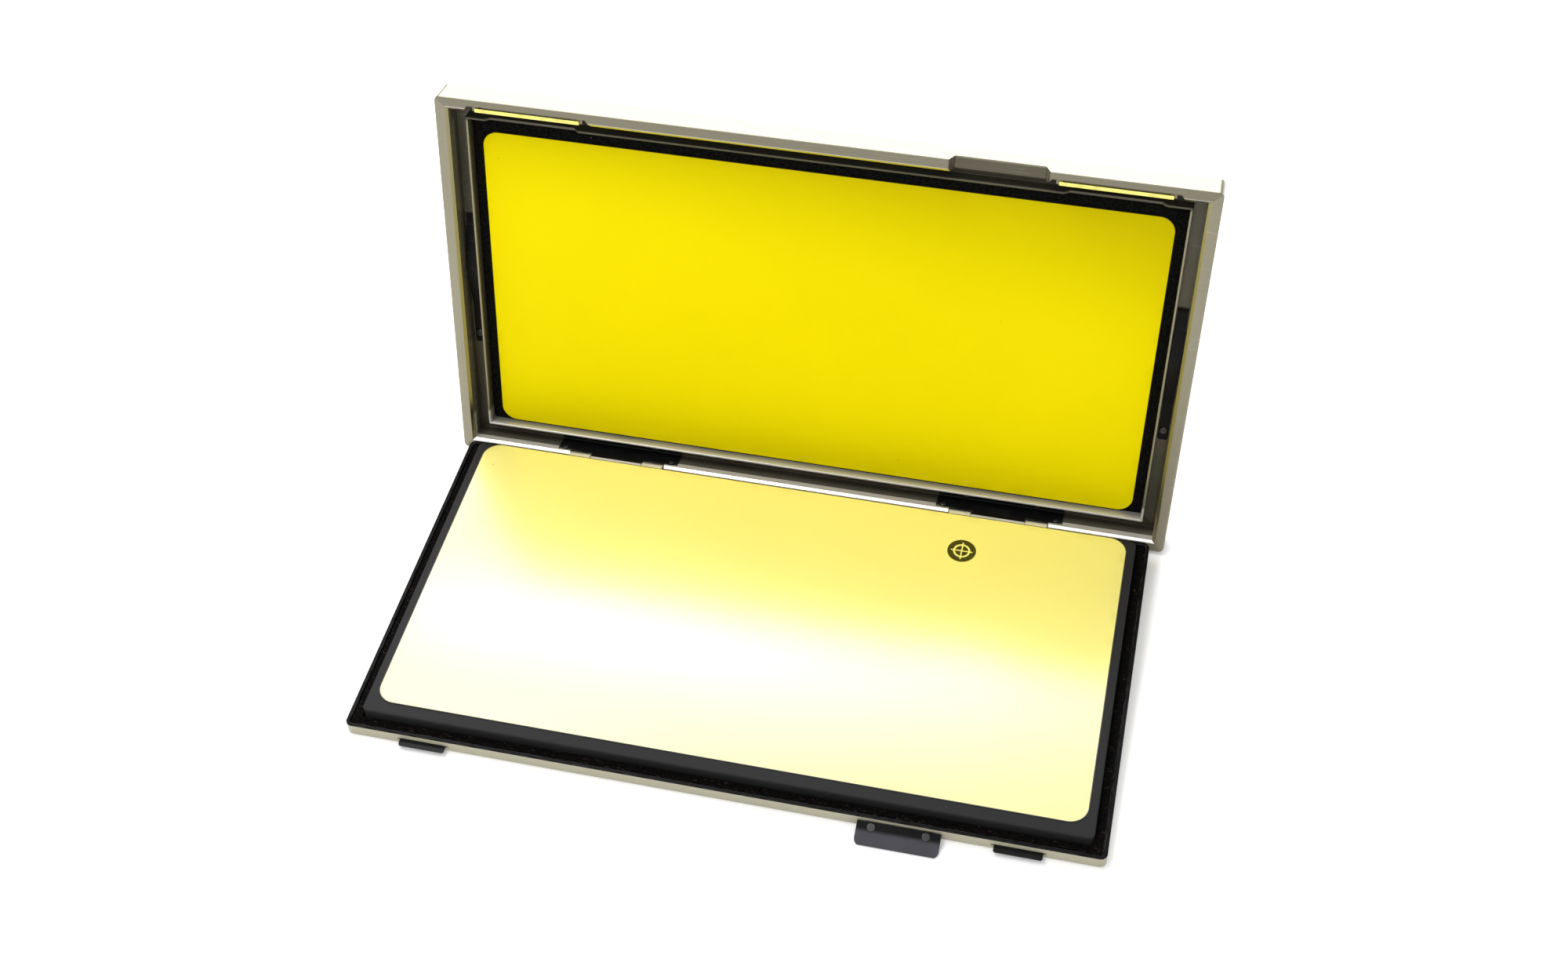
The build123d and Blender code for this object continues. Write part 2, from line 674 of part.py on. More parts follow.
felts["front"] -= block(tab_x - reach, tab_x + reach, felt_front_y, pad_rear_y - pad_width,
                        board_z, tab_root_z + felt_gap)

tab_rivets = []
for step in (-1, 1):
    one = tab_rivet_place(tab_x + step * tab_rivet_spacing / 2) * tab_rivet()
    tab -= one
    tongue -= one
    tab_rivets.append(one)

# ---------------------------------------------------------------- rest pose
# The tray leans back on its stop. Its lower rear edge then stands lower than the
# lid, so the open cassette rests on that edge and on the lid's front edge.
opened = math.radians(180 - open_angle)
lid_edge_y = lid_front_y + pan_edge_radius
lid_edge_z = lid_bottom_z + pan_edge_radius
corner_y = tray_hinge_y + edge_radius
corner_z = back_z + edge_radius
tray_edge_y = corner_y * math.cos(opened) - corner_z * math.sin(opened)
tray_edge_z = corner_y * math.sin(opened) + corner_z * math.cos(opened)
span_y = tray_edge_y - lid_edge_y
span_z = lid_edge_z - tray_edge_z
tilt = math.atan2(span_z, span_y) - math.asin((pan_edge_radius - edge_radius) / math.hypot(span_y, span_z))
axis_height = pan_edge_radius - lid_edge_y * math.sin(tilt) - lid_edge_z * math.cos(tilt)

lid_place = Pos(0, 0, axis_height) * Rot(X=math.degrees(tilt))
tray_place = lid_place * Rot(X=180 - open_angle)

tray_nodes = {
    "frame_rail_top": rails["top"],
    "frame_rail_bottom": rails["bottom"],
    "frame_rail_left": rails["left"],
    "frame_rail_right": rails["right"],
    "corner_keys": Compound(children=keys),
    "front_panel": panel,
    "front_mat": mat,
    "front_screen": front_screen,
    "strike_bar_left": strike_bar(strikes["left"]),
    "strike_bar_right": strike_bar(strikes["right"]),
    "ejector_spring_left": springs["left"],
    "ejector_spring_right": springs["right"],
    "spring_screws": Compound(children=spring_screws),
    "frame_hinge_leaf_left": frame_leaves["left"],
    "frame_hinge_leaf_right": frame_leaves["right"],
    "frame_hinge_screws": Compound(children=leaf_screws),
}
lid_nodes = {
    "lid_pan": pan,
    "lid_trim_front": trim & mitre_zone("front"),
    "lid_trim_back": trim & mitre_zone("back"),
    "lid_trim_left": trim & mitre_zone("left"),
    "lid_trim_right": trim & mitre_zone("right"),
    "backing_board": board,
    "felt_front": felts["front"],
    "felt_back": felts["back"],
    "felt_left": felts["left"],
    "felt_right": felts["right"],
    "foam_pad": pad,
    "back_screen": back_screen,
    "lid_hinge_leaf_left": lid_leaves["left"],
    "lid_hinge_leaf_right": lid_leaves["right"],
    "hinge_pin_left": pins["left"],
    "hinge_pin_right": pins["right"],
    "latch_hook_left": hook_parts["left"],
    "latch_hook_right": hook_parts["right"],
    "tab_tongue": tongue,
    "pull_tab": tab,
    "tab_rivets": Compound(children=tab_rivets),
}
placed = {name: tray_place * solid for name, solid in tray_nodes.items()}
placed.update({name: lid_place * solid for name, solid in lid_nodes.items()})

boxes = [solid.bounding_box() for solid in placed.values()]
front_y = min(box.min.Y for box in boxes)
rear_y = max(box.max.Y for box in boxes)
shift = Pos(0, -(front_y + rear_y) / 2, 0)
os.makedirs("parts", exist_ok=True)
for name, solid in placed.items():
    export_step(shift * solid, f"parts/{name}.step")
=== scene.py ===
import json
import math
from types import SimpleNamespace

import bmesh
import bpy
from mathutils import Matrix, Vector, noise


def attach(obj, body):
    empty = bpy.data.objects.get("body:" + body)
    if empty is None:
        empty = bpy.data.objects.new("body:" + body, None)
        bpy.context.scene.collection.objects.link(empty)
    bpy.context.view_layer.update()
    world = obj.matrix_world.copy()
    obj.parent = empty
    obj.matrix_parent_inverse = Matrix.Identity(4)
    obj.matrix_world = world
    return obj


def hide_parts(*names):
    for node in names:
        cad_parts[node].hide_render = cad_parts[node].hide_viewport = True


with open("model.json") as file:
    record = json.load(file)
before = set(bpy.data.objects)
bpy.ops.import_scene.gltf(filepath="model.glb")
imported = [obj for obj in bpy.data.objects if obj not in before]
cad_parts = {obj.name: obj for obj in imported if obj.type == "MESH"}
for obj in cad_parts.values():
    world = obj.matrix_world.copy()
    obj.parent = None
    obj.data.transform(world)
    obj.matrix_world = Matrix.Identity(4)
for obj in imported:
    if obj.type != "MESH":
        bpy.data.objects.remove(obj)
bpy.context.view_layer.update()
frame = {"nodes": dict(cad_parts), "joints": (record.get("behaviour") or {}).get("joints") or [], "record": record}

bl_info = {
    "name": "X-ray Film Cassette",
    "version": (1, 0, 0),
    "blender": (4, 5, 0),
    "location": "View3D > Sidebar > Cassette",
    "description": "Finishes, soft linings and studio for a hinged film cassette",
    "category": "Object",
}

MM = 0.001


# ---------------------------------------------------------------- places
def named(rows, name):
    for row in rows:
        if row["name"] == name:
            return row
    raise ValueError(f"the frame has nothing named {name}")


HINGE = Vector(named(frame["joints"], "hinge")["pos_m"])
TRAY_UP = Vector(named(frame["joints"], "strike_left_slide")["axis"])
LID_DOWN = Vector(named(frame["record"]["mounts"], "lid_underside")["axis"])


class Half:
    """Axes of one half, from the middle of the hinge: X along it, Z out of the half's inside."""

    def __init__(self, angle):
        self.angle = angle
        self.place = Matrix.Translation(HINGE) @ Matrix.Rotation(angle, 4, "X")


TRAY = Half(math.atan2(TRAY_UP.z, TRAY_UP.y))
LID = Half(math.atan2(LID_DOWN.y, -LID_DOWN.z))


def local_box(node, half):
    """Lowest and highest corner of a CAD node, along the axes of its own half."""
    back = half.place.inverted()
    points = [back @ vertex.co for vertex in frame["nodes"][node].data.vertices]
    low = Vector([min(point[axis] for point in points) for axis in range(3)])
    high = Vector([max(point[axis] for point in points) for axis in range(3)])
    return low, high


def tray_box():
    """Lowest and highest corner of the four rails, along the axes of the tray."""
    boxes = [local_box(f"frame_rail_{side}", TRAY) for side in ("top", "bottom", "left", "right")]
    low = Vector([min(box[0][axis] for box in boxes) for axis in range(3)])
    high = Vector([max(box[1][axis] for box in boxes) for axis in range(3)])
    return low, high


# ---------------------------------------------------------------- settings
def colour_setting(name, description, default):
    return bpy.props.FloatVectorProperty(
        name=name, description=description, subtype="COLOR", size=3, default=default)


def length_setting(name, description, metres):
    return bpy.props.FloatProperty(
        name=name, description=description, subtype="DISTANCE", unit="LENGTH", precision=5,
        default=metres)


def power_setting(name, description, watts):
    return bpy.props.FloatProperty(
        name=name, description=description, subtype="POWER", unit="POWER", default=watts)


class FinishSettings(bpy.types.PropertyGroup):
    aluminium: colour_setting("Aluminium", "Bare frame rails", (0.25, 0.232, 0.168))
    # Painted highlight and shade on the bevels: light on the two long rails, dark olive on the two short ones, for
    # how light falls on each.
    lit_bevel: colour_setting("Bright cut", "Machined bevel of the two long rails", (0.54, 0.525, 0.515))
    shaded_bevel: colour_setting("Dull cut", "Machined bevel of the two short rails", (0.26, 0.24, 0.14))
    # Painted highlight on the hinge rail's ridge and lip, where their upward faces catch the light.
    ridge_highlight: colour_setting("Ridge", "Rubbed ridge and lip of the hinge rail", (0.60, 0.58, 0.53))
    # Painted shade deep in the channel and under the top rail's rim.
    channel_shade: colour_setting("Grime", "Deposit in the light trap channel", (0.020, 0.016, 0.010))
    scratched_metal: colour_setting("Scratches", "Scratches in the aluminium", (0.75, 0.72, 0.65))
    chipped_metal: colour_setting("Chips", "Small stained chips in the aluminium", (0.05, 0.045, 0.035))
    panel_paint: colour_setting("Panel paint", "Back panel of the tray", (0.30, 0.30, 0.27))
    key_metal: colour_setting("Corner keys", "Cast metal inside the rails", (0.35, 0.35, 0.36))
    lid_paint: colour_setting("Lid paint", "Outside of the lid", (0.475, 0.447, 0.325))
    black_lacquer: colour_setting("Black lacquer", "Hinges, hooks, trim and tab", (0.004, 0.004, 0.0045))
    worn_edge: colour_setting("Worn edge", "Metal where lacquer or paint is rubbed", (0.22, 0.21, 0.20))
    # Painted reflection: a light band on the tray's hinge knuckles, standing for the lid's bright sheet seen in
    # them.
    knuckle_reflection: colour_setting("Knuckles", "Bare knuckles of the tray's hinge leaves", (0.62, 0.60, 0.57))
    # Painted reflection: the grey-blue sheen of the pull tab's lower leg.
    tab_sheen: colour_setting("Tab", "Handled lower leg of the pull tab", (0.060, 0.058, 0.068))
    leaf_metal: colour_setting("Lid leaves", "Plated hinge leaves of the lid", (0.80, 0.77, 0.74))
    screw_metal: colour_setting("Screws", "Blackened screws", (0.07, 0.068, 0.066))
    pin_metal: colour_setting("Pins", "Ground hinge pins", (0.50, 0.50, 0.50))
    # Painted reflection: the strike bars' yellow tint stands for the yellow screen reflected in them.
    bar_reflected_yellow: colour_setting("Strike bars", "Yellow plated strip", (0.78, 0.71, 0.20))
    yellow_sheet: colour_setting("Front screen", "Phosphor sheet in the tray", (0.96, 0.80, 0.0005))
    pale_sheet: colour_setting("Back screen", "Phosphor sheet on the lid", (1.0, 0.885, 0.26))
    sheet_edge: colour_setting("Screen edge", "Sealed edge of both screens", (0.03, 0.025, 0.008))
    edge_line: length_setting("Edge line", "Width of the sealed edge", 0.35 * MM)
    felt: colour_setting("Felt", "Dark brown light-trap felt", (0.0020, 0.0016, 0.0014))
    felt_hair: colour_setting("Felt hairs", "Light hairs in felt and mat", (0.10, 0.07, 0.06))
    lint: colour_setting("Lint", "Dust on felt and mat", (0.20, 0.17, 0.15))
    mat: colour_setting("Mat", "Black mat behind the front screen", (0.004, 0.004, 0.0035))
    foam: colour_setting("Foam", "Skin of the pressure pad", (0.018, 0.018, 0.019))
    foam_dust: colour_setting("Foam dust", "Dust on the pressure pad", (0.16, 0.14, 0.12))
    board: colour_setting("Board", "Pressed board in the lid", (0.05, 0.045, 0.04))


class LiningSettings(bpy.types.PropertyGroup):
    pad_edge: length_setting("Pad edge", "Radius of the pressure pad's upper edge", 0.7 * MM)
    pad_corner: length_setting("Pad corner", "Radius of the pad's corners in plan", 2.5 * MM)
    pad_hollow: length_setting("Pad hollow", "How far the pad's sides draw in", 0.15 * MM)
    felt_edge: length_setting("Felt edge", "Radius of a felt strip's upper edges", 0.6 * MM)
    felt_pull: length_setting("Felt unevenness", "How far the felt's surface wanders", 0.16 * MM)
    felt_step: length_setting("Felt step", "Length of one mesh section of felt", 1.1 * MM)
    mat_edge: length_setting("Mat edge", "Radius of the backing mat's upper edge", 0.25 * MM)
    mat_corner: length_setting("Mat corner", "Radius of the mat's corners in plan", 1.0 * MM)


class MarkSettings(bpy.types.PropertyGroup):
    side: length_setting(
        "From right edge", "Middle of the mark from the right edge of the back screen", 71.7 * MM)
    drop: length_setting(
        "From hinge edge", "Middle of the mark from the hinge edge of the back screen", 21.1 * MM)
    radius: length_setting("Radius", "Radius of the printed disc", 6.4 * MM)
    ring: length_setting("Ring", "Radius of the pale registration ring", 3.4 * MM)
    line: length_setting("Line", "Width of the pale lines", 0.9 * MM)
    ink: colour_setting("Ink", "Colour of the printed disc", (0.006, 0.006, 0.005))


class StageSettings(bpy.types.PropertyGroup):
    camera_place: bpy.props.FloatVectorProperty(
        name="Camera", description="Place of the camera", subtype="TRANSLATION", unit="LENGTH", size=3,
        default=(0.14242, -0.56587, 0.68212), precision=5)
    camera_turn: bpy.props.FloatVectorProperty(
        name="Camera turn", description="Rotation of the camera", subtype="EULER", unit="ROTATION", size=3,
        default=(math.radians(44.0097), math.radians(0.7261), math.radians(12.6737)))
    lens: bpy.props.FloatProperty(
        name="Lens", description="Focal length on a 36 mm wide sensor", subtype="DISTANCE_CAMERA",
        unit="CAMERA", default=46.383)
    floor_size: length_setting("Floor", "Side of the square table", 5.0)
    floor_paint: colour_setting("Floor paint", "Colour of the table", (0.86, 0.86, 0.86))
    ambient: bpy.props.FloatProperty(
        name="Ambient", description="Brightness of the room's even light", subtype="FACTOR", min=0.0,
        max=2.0, default=0.49)
    key_power: power_setting("Key lamp", "Power of the large lamp overhead on the left", 10.5)
    front_power: power_setting("Front lamp", "Power of the lamp high in front", 4.6)
    back_power: power_setting("Back lamp", "Power of the narrow lamp behind", 6.0)
    rim_power: power_setting("Rim lamp", "Power of the wide lamp far behind", 24.0)


# ---------------------------------------------------------------- node tools
def set_or_join(tree, socket, value):
    """Joins an input to an output, or sets the input's own value."""
    if isinstance(value, bpy.types.NodeSocket):
        tree.links.new(value, socket)
    else:
        socket.default_value = value


def add(tree, kind, inputs=None, **settings):
    """A shader node with its settings, and its inputs joined or set."""
    node = tree.nodes.new(kind)
    for key, value in settings.items():
        setattr(node, key, value)
    for key, value in (inputs or {}).items():
        set_or_join(tree, node.inputs[key], value)
    return node


def maths(tree, operation, first, second=0.0, third=0.0, clamp=False):
    node = add(tree, "ShaderNodeMath", {0: first, 1: second, 2: third}, operation=operation, use_clamp=clamp)
    return node.outputs[0]


def vector_maths(tree, operation, first, second=(0.0, 0.0, 0.0)):
    return add(tree, "ShaderNodeVectorMath", {0: first, 1: second}, operation=operation).outputs[0]


def vector_length(tree, vector):
    return add(tree, "ShaderNodeVectorMath", {0: vector}, operation="LENGTH").outputs["Value"]


def axes_of(tree, vector):
    return add(tree, "ShaderNodeSeparateXYZ", {"Vector": vector}).outputs


def ramp(tree, value, low, high):
    """0 at low, 1 at high, smooth between, also where high is the smaller of the two."""
    inputs = {"Value": value, "From Min": low, "From Max": high, "To Min": 0.0, "To Max": 1.0}
    return add(tree, "ShaderNodeMapRange", inputs, interpolation_type="SMOOTHSTEP").outputs[0]


def inside(tree, value, limit, soft):
    """1 where value is below limit."""
    return ramp(tree, value, limit + soft, limit - soft)


def band(tree, value, start, end, soft):
    """1 between start and end, fading over soft on either side."""
    past = ramp(tree, value, start - soft, start)
    before = ramp(tree, value, end + soft, end)
    return maths(tree, "MULTIPLY", past, before)


def blend_value(tree, factor, first, second):
    """Second number where factor is 1."""
    return maths(tree, "MULTIPLY_ADD", factor, second - first, first)


def blend_colour(tree, factor, first, second):
    """Second colour where factor is 1."""
    return add(tree, "ShaderNodeMix", {0: factor, 6: first, 7: second}, data_type="RGBA").outputs[2]


def shade(colour, factor=1.0):
    """An opaque colour, darker or lighter by a factor."""
    return (*(min(value * factor, 1.0) for value in colour), 1.0)


def mottled(tree, tone, colour, low, high):
    """A colour that varies with tone between two shades of itself."""
    return blend_colour(tree, tone, shade(colour, low), shade(colour, high))


def overlay(tree, mask, amount, base, colour):
    """Base with a colour over it, as strong as mask times amount."""
    return blend_colour(tree, maths(tree, "MULTIPLY", mask, amount), base, colour)


def noise_value(tree, vector, scale, detail=2.0):
    return add(tree, "ShaderNodeTexNoise", {"Vector": vector, "Scale": scale, "Detail": detail}).outputs[0]


def stretched(tree, vector, scale, turn=0.0):
    inputs = {"Vector": vector, "Scale": scale, "Rotation": (0, 0, turn)}
    return add(tree, "ShaderNodeMapping", inputs).outputs[0]


# ---------------------------------------------------------------- shared effects
def new_group(name, inputs, outputs):
    """A node group with number sockets and a Vector input, and its inner end nodes."""
    group = bpy.data.node_groups.new(name, "ShaderNodeTree")
    group.interface.new_socket(name="Vector", in_out="INPUT", socket_type="NodeSocketVector")
    for label, default in inputs.items():
        socket = group.interface.new_socket(name=label, in_out="INPUT", socket_type="NodeSocketFloat")
        socket.default_value = default
    for label in outputs:
        group.interface.new_socket(name=label, in_out="OUTPUT", socket_type="NodeSocketFloat")
    return group, group.nodes.new("NodeGroupInput").outputs, group.nodes.new("NodeGroupOutput").inputs


def make_wear():
    """Rubbed edges, fine scratches and small chips."""
    defaults = {"Edge Radius": 0.3 * MM, "Scratch Scale": 60.0, "Chip Scale": 350.0, "Chip Amount": 0.2}
    group, given, result = new_group("Handling Wear", defaults, ("Edge", "Scratches", "Chips"))
    vector = given["Vector"]
    rounded = add(group, "ShaderNodeBevel", {"Radius": given["Edge Radius"]}, samples=6).outputs[0]
    flat = add(group, "ShaderNodeNewGeometry").outputs["True Normal"]
    inputs = {0: rounded, 1: flat}
    facing = add(group, "ShaderNodeVectorMath", inputs, operation="DOT_PRODUCT").outputs["Value"]
    edge = ramp(group, facing, 0.995, 0.90)
    patchy = ramp(group, noise_value(group, vector, scale=180.0, detail=3.0), 0.38, 0.62)
    group.links.new(maths(group, "MULTIPLY", edge, patchy), result["Edge"])
    lines = 0.0
    for turn, stretch in ((0.35, 1.0), (-0.6, 1.3), (1.2, 0.8)):
        spread = stretched(group, vector, (stretch, 40.0, 40.0), turn)
        streak = noise_value(group, spread, scale=given["Scratch Scale"], detail=1.0)
        lines = maths(group, "MAXIMUM", lines, ramp(group, streak, 0.70, 0.76))
    gaps = ramp(group, noise_value(group, vector, scale=40.0), 0.45, 0.6)
    group.links.new(maths(group, "MULTIPLY", lines, gaps), result["Scratches"])
    limit = maths(group, "SUBTRACT", 0.85, given["Chip Amount"])
    chips = noise_value(group, vector, scale=given["Chip Scale"], detail=4.0)
    group.links.new(maths(group, "GREATER_THAN", chips, limit), result["Chips"])
    return group


def make_grain():
    """Fine parallel grain of a drawn or brushed metal, along X."""
    group, given, result = new_group("Drawn Grain", {"Scale": 40.0}, ("Tone", "Height"))
    long_lines = stretched(group, given["Vector"], (0.35, 60.0, 60.0))
    fine = noise_value(group, long_lines, scale=given["Scale"], detail=4.0)
    cloud = noise_value(group, given["Vector"], scale=25.0, detail=3.0)
    tone = maths(group, "MULTIPLY_ADD", fine, 0.6, maths(group, "MULTIPLY", cloud, 0.4))
    group.links.new(tone, result["Tone"])
    group.links.new(fine, result["Height"])
    return group


def make_fibres():
    """Matted fibres of felt, with a few light hairs."""
    group, given, result = new_group("Felt Fibres", {"Scale": 900.0}, ("Tone", "Hairs", "Height"))
    vector = given["Vector"]
    matted = noise_value(group, vector, scale=given["Scale"], detail=5.0)
    group.links.new(ramp(group, matted, 0.35, 0.7), result["Tone"])
    inputs = {"Vector": vector, "Scale": 300.0, "Detail": 2.0}
    warp = add(group, "ShaderNodeTexNoise", inputs).outputs["Color"]
    warp = vector_maths(group, "MULTIPLY", warp, (2 * MM, 2 * MM, 2 * MM))
    bent = vector_maths(group, "ADD", vector, warp)
    hairs = noise_value(group, stretched(group, bent, (300.0, 3600.0, 2400.0), 0.7), scale=1.0, detail=0.0)
    group.links.new(ramp(group, hairs, 0.74, 0.80), result["Hairs"])
    group.links.new(matted, result["Height"])
    return group


def make_dust():
    """Small scattered specks."""
    group, given, result = new_group("Dust Specks", {"Scale": 90.0, "Size": 0.05, "Amount": 0.3}, ("Mask",))
    inputs = {"Vector": given["Vector"], "Scale": given["Scale"]}
    cells = add(group, "ShaderNodeTexVoronoi", inputs, feature="F1").outputs
    chosen = add(group, "ShaderNodeSeparateColor", {"Color": cells["Color"]}).outputs[0]
    near = maths(group, "LESS_THAN", cells["Distance"], maths(group, "MULTIPLY", given["Size"], chosen))
    left_out = maths(group, "LESS_THAN", chosen, given["Amount"])
    specks = maths(group, "MULTIPLY", near, maths(group, "SUBTRACT", 1.0, left_out))
    group.links.new(specks, result["Mask"])
    return group


def make_outline():
    """Distance inside the outline of a sheet with round corners."""
    defaults = {"Half Length": 0.15, "Half Width": 0.076, "Corner": 8 * MM}
    group, given, result = new_group("Sheet Outline", defaults, ("Inset",))
    axes = axes_of(group, given["Vector"])
    over = []
    for axis, half in (("X", "Half Length"), ("Y", "Half Width")):
        reach = maths(group, "SUBTRACT", given[half], given["Corner"])
        over.append(maths(group, "SUBTRACT", maths(group, "ABSOLUTE", axes[axis]), reach))
    outer = [maths(group, "POWER", maths(group, "MAXIMUM", value, 0.0), 2.0) for value in over]
    inner = maths(group, "MINIMUM", maths(group, "MAXIMUM", over[0], over[1]), 0.0)
    distance = maths(group, "ADD", maths(group, "SQRT", maths(group, "ADD", outer[0], outer[1])), inner)
    group.links.new(maths(group, "SUBTRACT", given["Corner"], distance), result["Inset"])
    return group


EFFECTS = {}


def effect(tree, maker, **inputs):
    """Outputs of a shared effect in this tree. The effect is made the first time it is used."""
    if maker not in EFFECTS:
        EFFECTS[maker] = maker()
    labelled = {key.replace("_", " ").title(): value for key, value in inputs.items()}
    return add(tree, "ShaderNodeGroup", labelled, node_tree=EFFECTS[maker]).outputs


# ---------------------------------------------------------------- material tools
def new_material(name, **shader):
    """A material, its node tree and its Principled shader."""
    material = bpy.data.materials.new(name)
    material.use_nodes = True
    tree = material.node_tree
    tree.nodes.clear()
    surface = add(tree, "ShaderNodeBsdfPrincipled", shader)
    add(tree, "ShaderNodeOutputMaterial", {"Surface": surface.outputs[0]}, target="ALL")
    return material, tree, surface


def along_half(tree, half, centre=(0, 0, 0), turn=0.0):
    """Coordinates in metres along the axes of one half, measured from centre."""
    place = add(tree, "ShaderNodeTexCoord").outputs["Object"]
    inputs = {"Vector": place, "Location": half.place @ Vector(centre), "Rotation": (half.angle, 0, 0)}
    local = add(tree, "ShaderNodeMapping", inputs, vector_type="TEXTURE").outputs[0]
    return stretched(tree, local, (1, 1, 1), turn) if turn else local


def inset_from(tree, local, half_size, corner):
    """How far a point lies inside the outline of a sheet round the origin."""
    return effect(tree, make_outline, vector=local, half_length=half_size.x, half_width=half_size.y,
                  corner=corner)["Inset"]


def lean_of(tree, local, share):
    """Distance along Y, plus a share of the distance along X."""
    axes = axes_of(tree, local)
    return maths(tree, "MULTIPLY_ADD", axes["X"], share, axes["Y"])


def cover(tree, surface, colour, roughness):
    tree.links.new(colour, surface.inputs["Base Color"])
    tree.links.new(roughness, surface.inputs["Roughness"])


def relief(tree, surface, height, distance, strength=1.0, edge_radius=0.0):
    """Bump, over rounded edges where a radius is given."""
    inputs = {"Height": height, "Distance": distance, "Strength": strength}
    if edge_radius:
        inputs["Normal"] = add(tree, "ShaderNodeBevel", {"Radius": edge_radius}, samples=6).outputs[0]
    tree.links.new(add(tree, "ShaderNodeBump", inputs).outputs[0], surface.inputs["Normal"])


def dress(material, slot, *names):
    """Puts a material on CAD nodes."""
    for name in names:
        piece = frame["nodes"][name]
        piece.data.materials.clear()
        piece.data.materials.append(material)


# ---------------------------------------------------------------- materials
# The section of a frame rail. Insets run in from the outer face, depths down from the rim.
# Where there are two values, a mask starts at one and is full at the other.
EDGE_STEP = 0.2 * MM
RAIL_CORNER = 2.5 * MM
BEVEL_INSETS = (4.4 * MM, 5.9 * MM)
BEVEL_DEPTH = 1.3 * MM
LIP_INSETS = (5.5 * MM, 6.6 * MM)
LIP_DEPTH = 4.0 * MM
RIDGE_WIDTH = 1.4 * MM
# Painted shade: it stays off the outer faces within these insets, and grows between these depths in the channel
# and under the top rail.
UNSHADED_INSETS = (0.6 * MM, 0.8 * MM)
CHANNEL_SHADE_DEPTHS = (5.5 * MM, 9.5 * MM)
TOP_SHADE_DEPTHS = (2.0 * MM, 5.0 * MM)
TOP_RAIL_WIDTHS = (14.0 * MM, 12.0 * MM)  # from the tray's far edge
HINGE_RAIL_WIDTHS = (20.0 * MM, 18.0 * MM)  # from the tray's edge at the hinge


def rail_masks(tree, local, inset, half_width):
    """Masks of the painted shade deep in the channel and under the top rail, of the painted highlight on the hinge
    rail's ridge and lip, and of the machined bevel.
    """
    rim = local_box("frame_rail_top", TRAY)[1].z
    foot_low, foot_high = local_box("frame_rail_bottom", TRAY)
    axes = axes_of(tree, local)
    top_rail = ramp(tree, axes["Y"], *(half_width - width for width in TOP_RAIL_WIDTHS))
    hinge_rail = ramp(tree, axes["Y"], *(width - half_width for width in HINGE_RAIL_WIDTHS))

    # Painted shade: darker everywhere below 5.5 to 9.5 mm from the rim, and in the top rail already below 2 to 5
    # mm.
    in_channel = ramp(tree, axes["Z"], *(rim - depth for depth in CHANNEL_SHADE_DEPTHS))
    under_top = ramp(tree, axes["Z"], *(rim - depth for depth in TOP_SHADE_DEPTHS))
    shade_depth = maths(tree, "MAXIMUM", in_channel, maths(tree, "MULTIPLY", under_top, top_rail))
    shade_depth = maths(tree, "MULTIPLY", shade_depth, ramp(tree, inset, *UNSHADED_INSETS))
    cloud = blend_value(tree, noise_value(tree, local, scale=30.0, detail=3.0), 0.5, 0.8)
    channel_shade = maths(tree, "MULTIPLY", shade_depth, cloud)

    # Painted highlight: the ridge, and a lip in the rail's wall, are lightened on the hinge rail only, where their
    # upward faces catch the light.
    ridge_inset = foot_high.y - foot_low.y - RIDGE_WIDTH
    ridge = ramp(tree, inset, ridge_inset, ridge_inset + EDGE_STEP)
    lip_foot = rim - LIP_DEPTH
    lip = maths(tree, "MULTIPLY", band(tree, inset, *LIP_INSETS, EDGE_STEP),
                ramp(tree, axes["Z"], lip_foot - EDGE_STEP, lip_foot + EDGE_STEP))
    # Painted highlight on the hinge rail's ridge and lip.
    rubbed = maths(tree, "MULTIPLY", maths(tree, "MAXIMUM", ridge, lip), hinge_rail)

    bevel_foot = rim - BEVEL_DEPTH
    bevel = maths(tree, "MULTIPLY", band(tree, inset, *BEVEL_INSETS, EDGE_STEP),
                  ramp(tree, axes["Z"], bevel_foot - EDGE_STEP, bevel_foot))
    return channel_shade, rubbed, bevel


def aluminium_material(name, turn, bevel_light_and_shade, tone):
    """Drawn aluminium with painted shade deep in the channel, a painted highlight on the hinge rail's ridge and
    lip, and a painted bevel colour. Turn lays its grain along the rail.
    """
    finish = bpy.context.scene.cassette_finish
    material, tree, surface = new_material(name)
    low, high = tray_box()
    half_size = (high - low) / 2
    local = along_half(tree, TRAY, Vector((low.x + half_size.x, low.y + half_size.y, 0)))
    inset = inset_from(tree, local, half_size, RAIL_CORNER)
    channel_shade, rubbed, bevel = rail_masks(tree, local, inset, half_size.y)
    grain = effect(tree, make_grain, vector=along_half(tree, TRAY, turn=turn))
    wear = effect(tree, make_wear, vector=local, chip_amount=0.10)
    metal = mottled(tree, grain["Tone"], finish.aluminium, tone * 0.82, tone * 1.18)
    # Painted highlight on the hinge rail's ridge and lip.
    metal = blend_colour(tree, rubbed, metal, shade(finish.ridge_highlight))
    # Bevel colour: a painted highlight on the long rails, painted shade on the short ones.
    metal = blend_colour(tree, bevel, metal, shade(bevel_light_and_shade))
    # Painted shade deep in the channel and under the top rail's rim.
    metal = blend_colour(tree, channel_shade, metal, shade(finish.channel_shade))
    metal = overlay(tree, wear["Scratches"], 0.15, metal, shade(finish.scratched_metal))
    metal = overlay(tree, wear["Chips"], 0.6, metal, shade(finish.chipped_metal))
    rough = blend_value(tree, grain["Tone"], 0.20, 0.30)
    cover(tree, surface, metal, maths(tree, "MULTIPLY_ADD", channel_shade, 0.25, rough, clamp=True))
    metallic = maths(tree, "MULTIPLY_ADD", bevel, 0.4, blend_value(tree, rubbed, 0.6, 0.25))
    tree.links.new(metallic, surface.inputs["Metallic"])
    relief(tree, surface, grain["Height"], 0.02 * MM, strength=0.5, edge_radius=0.4 * MM)
    return material


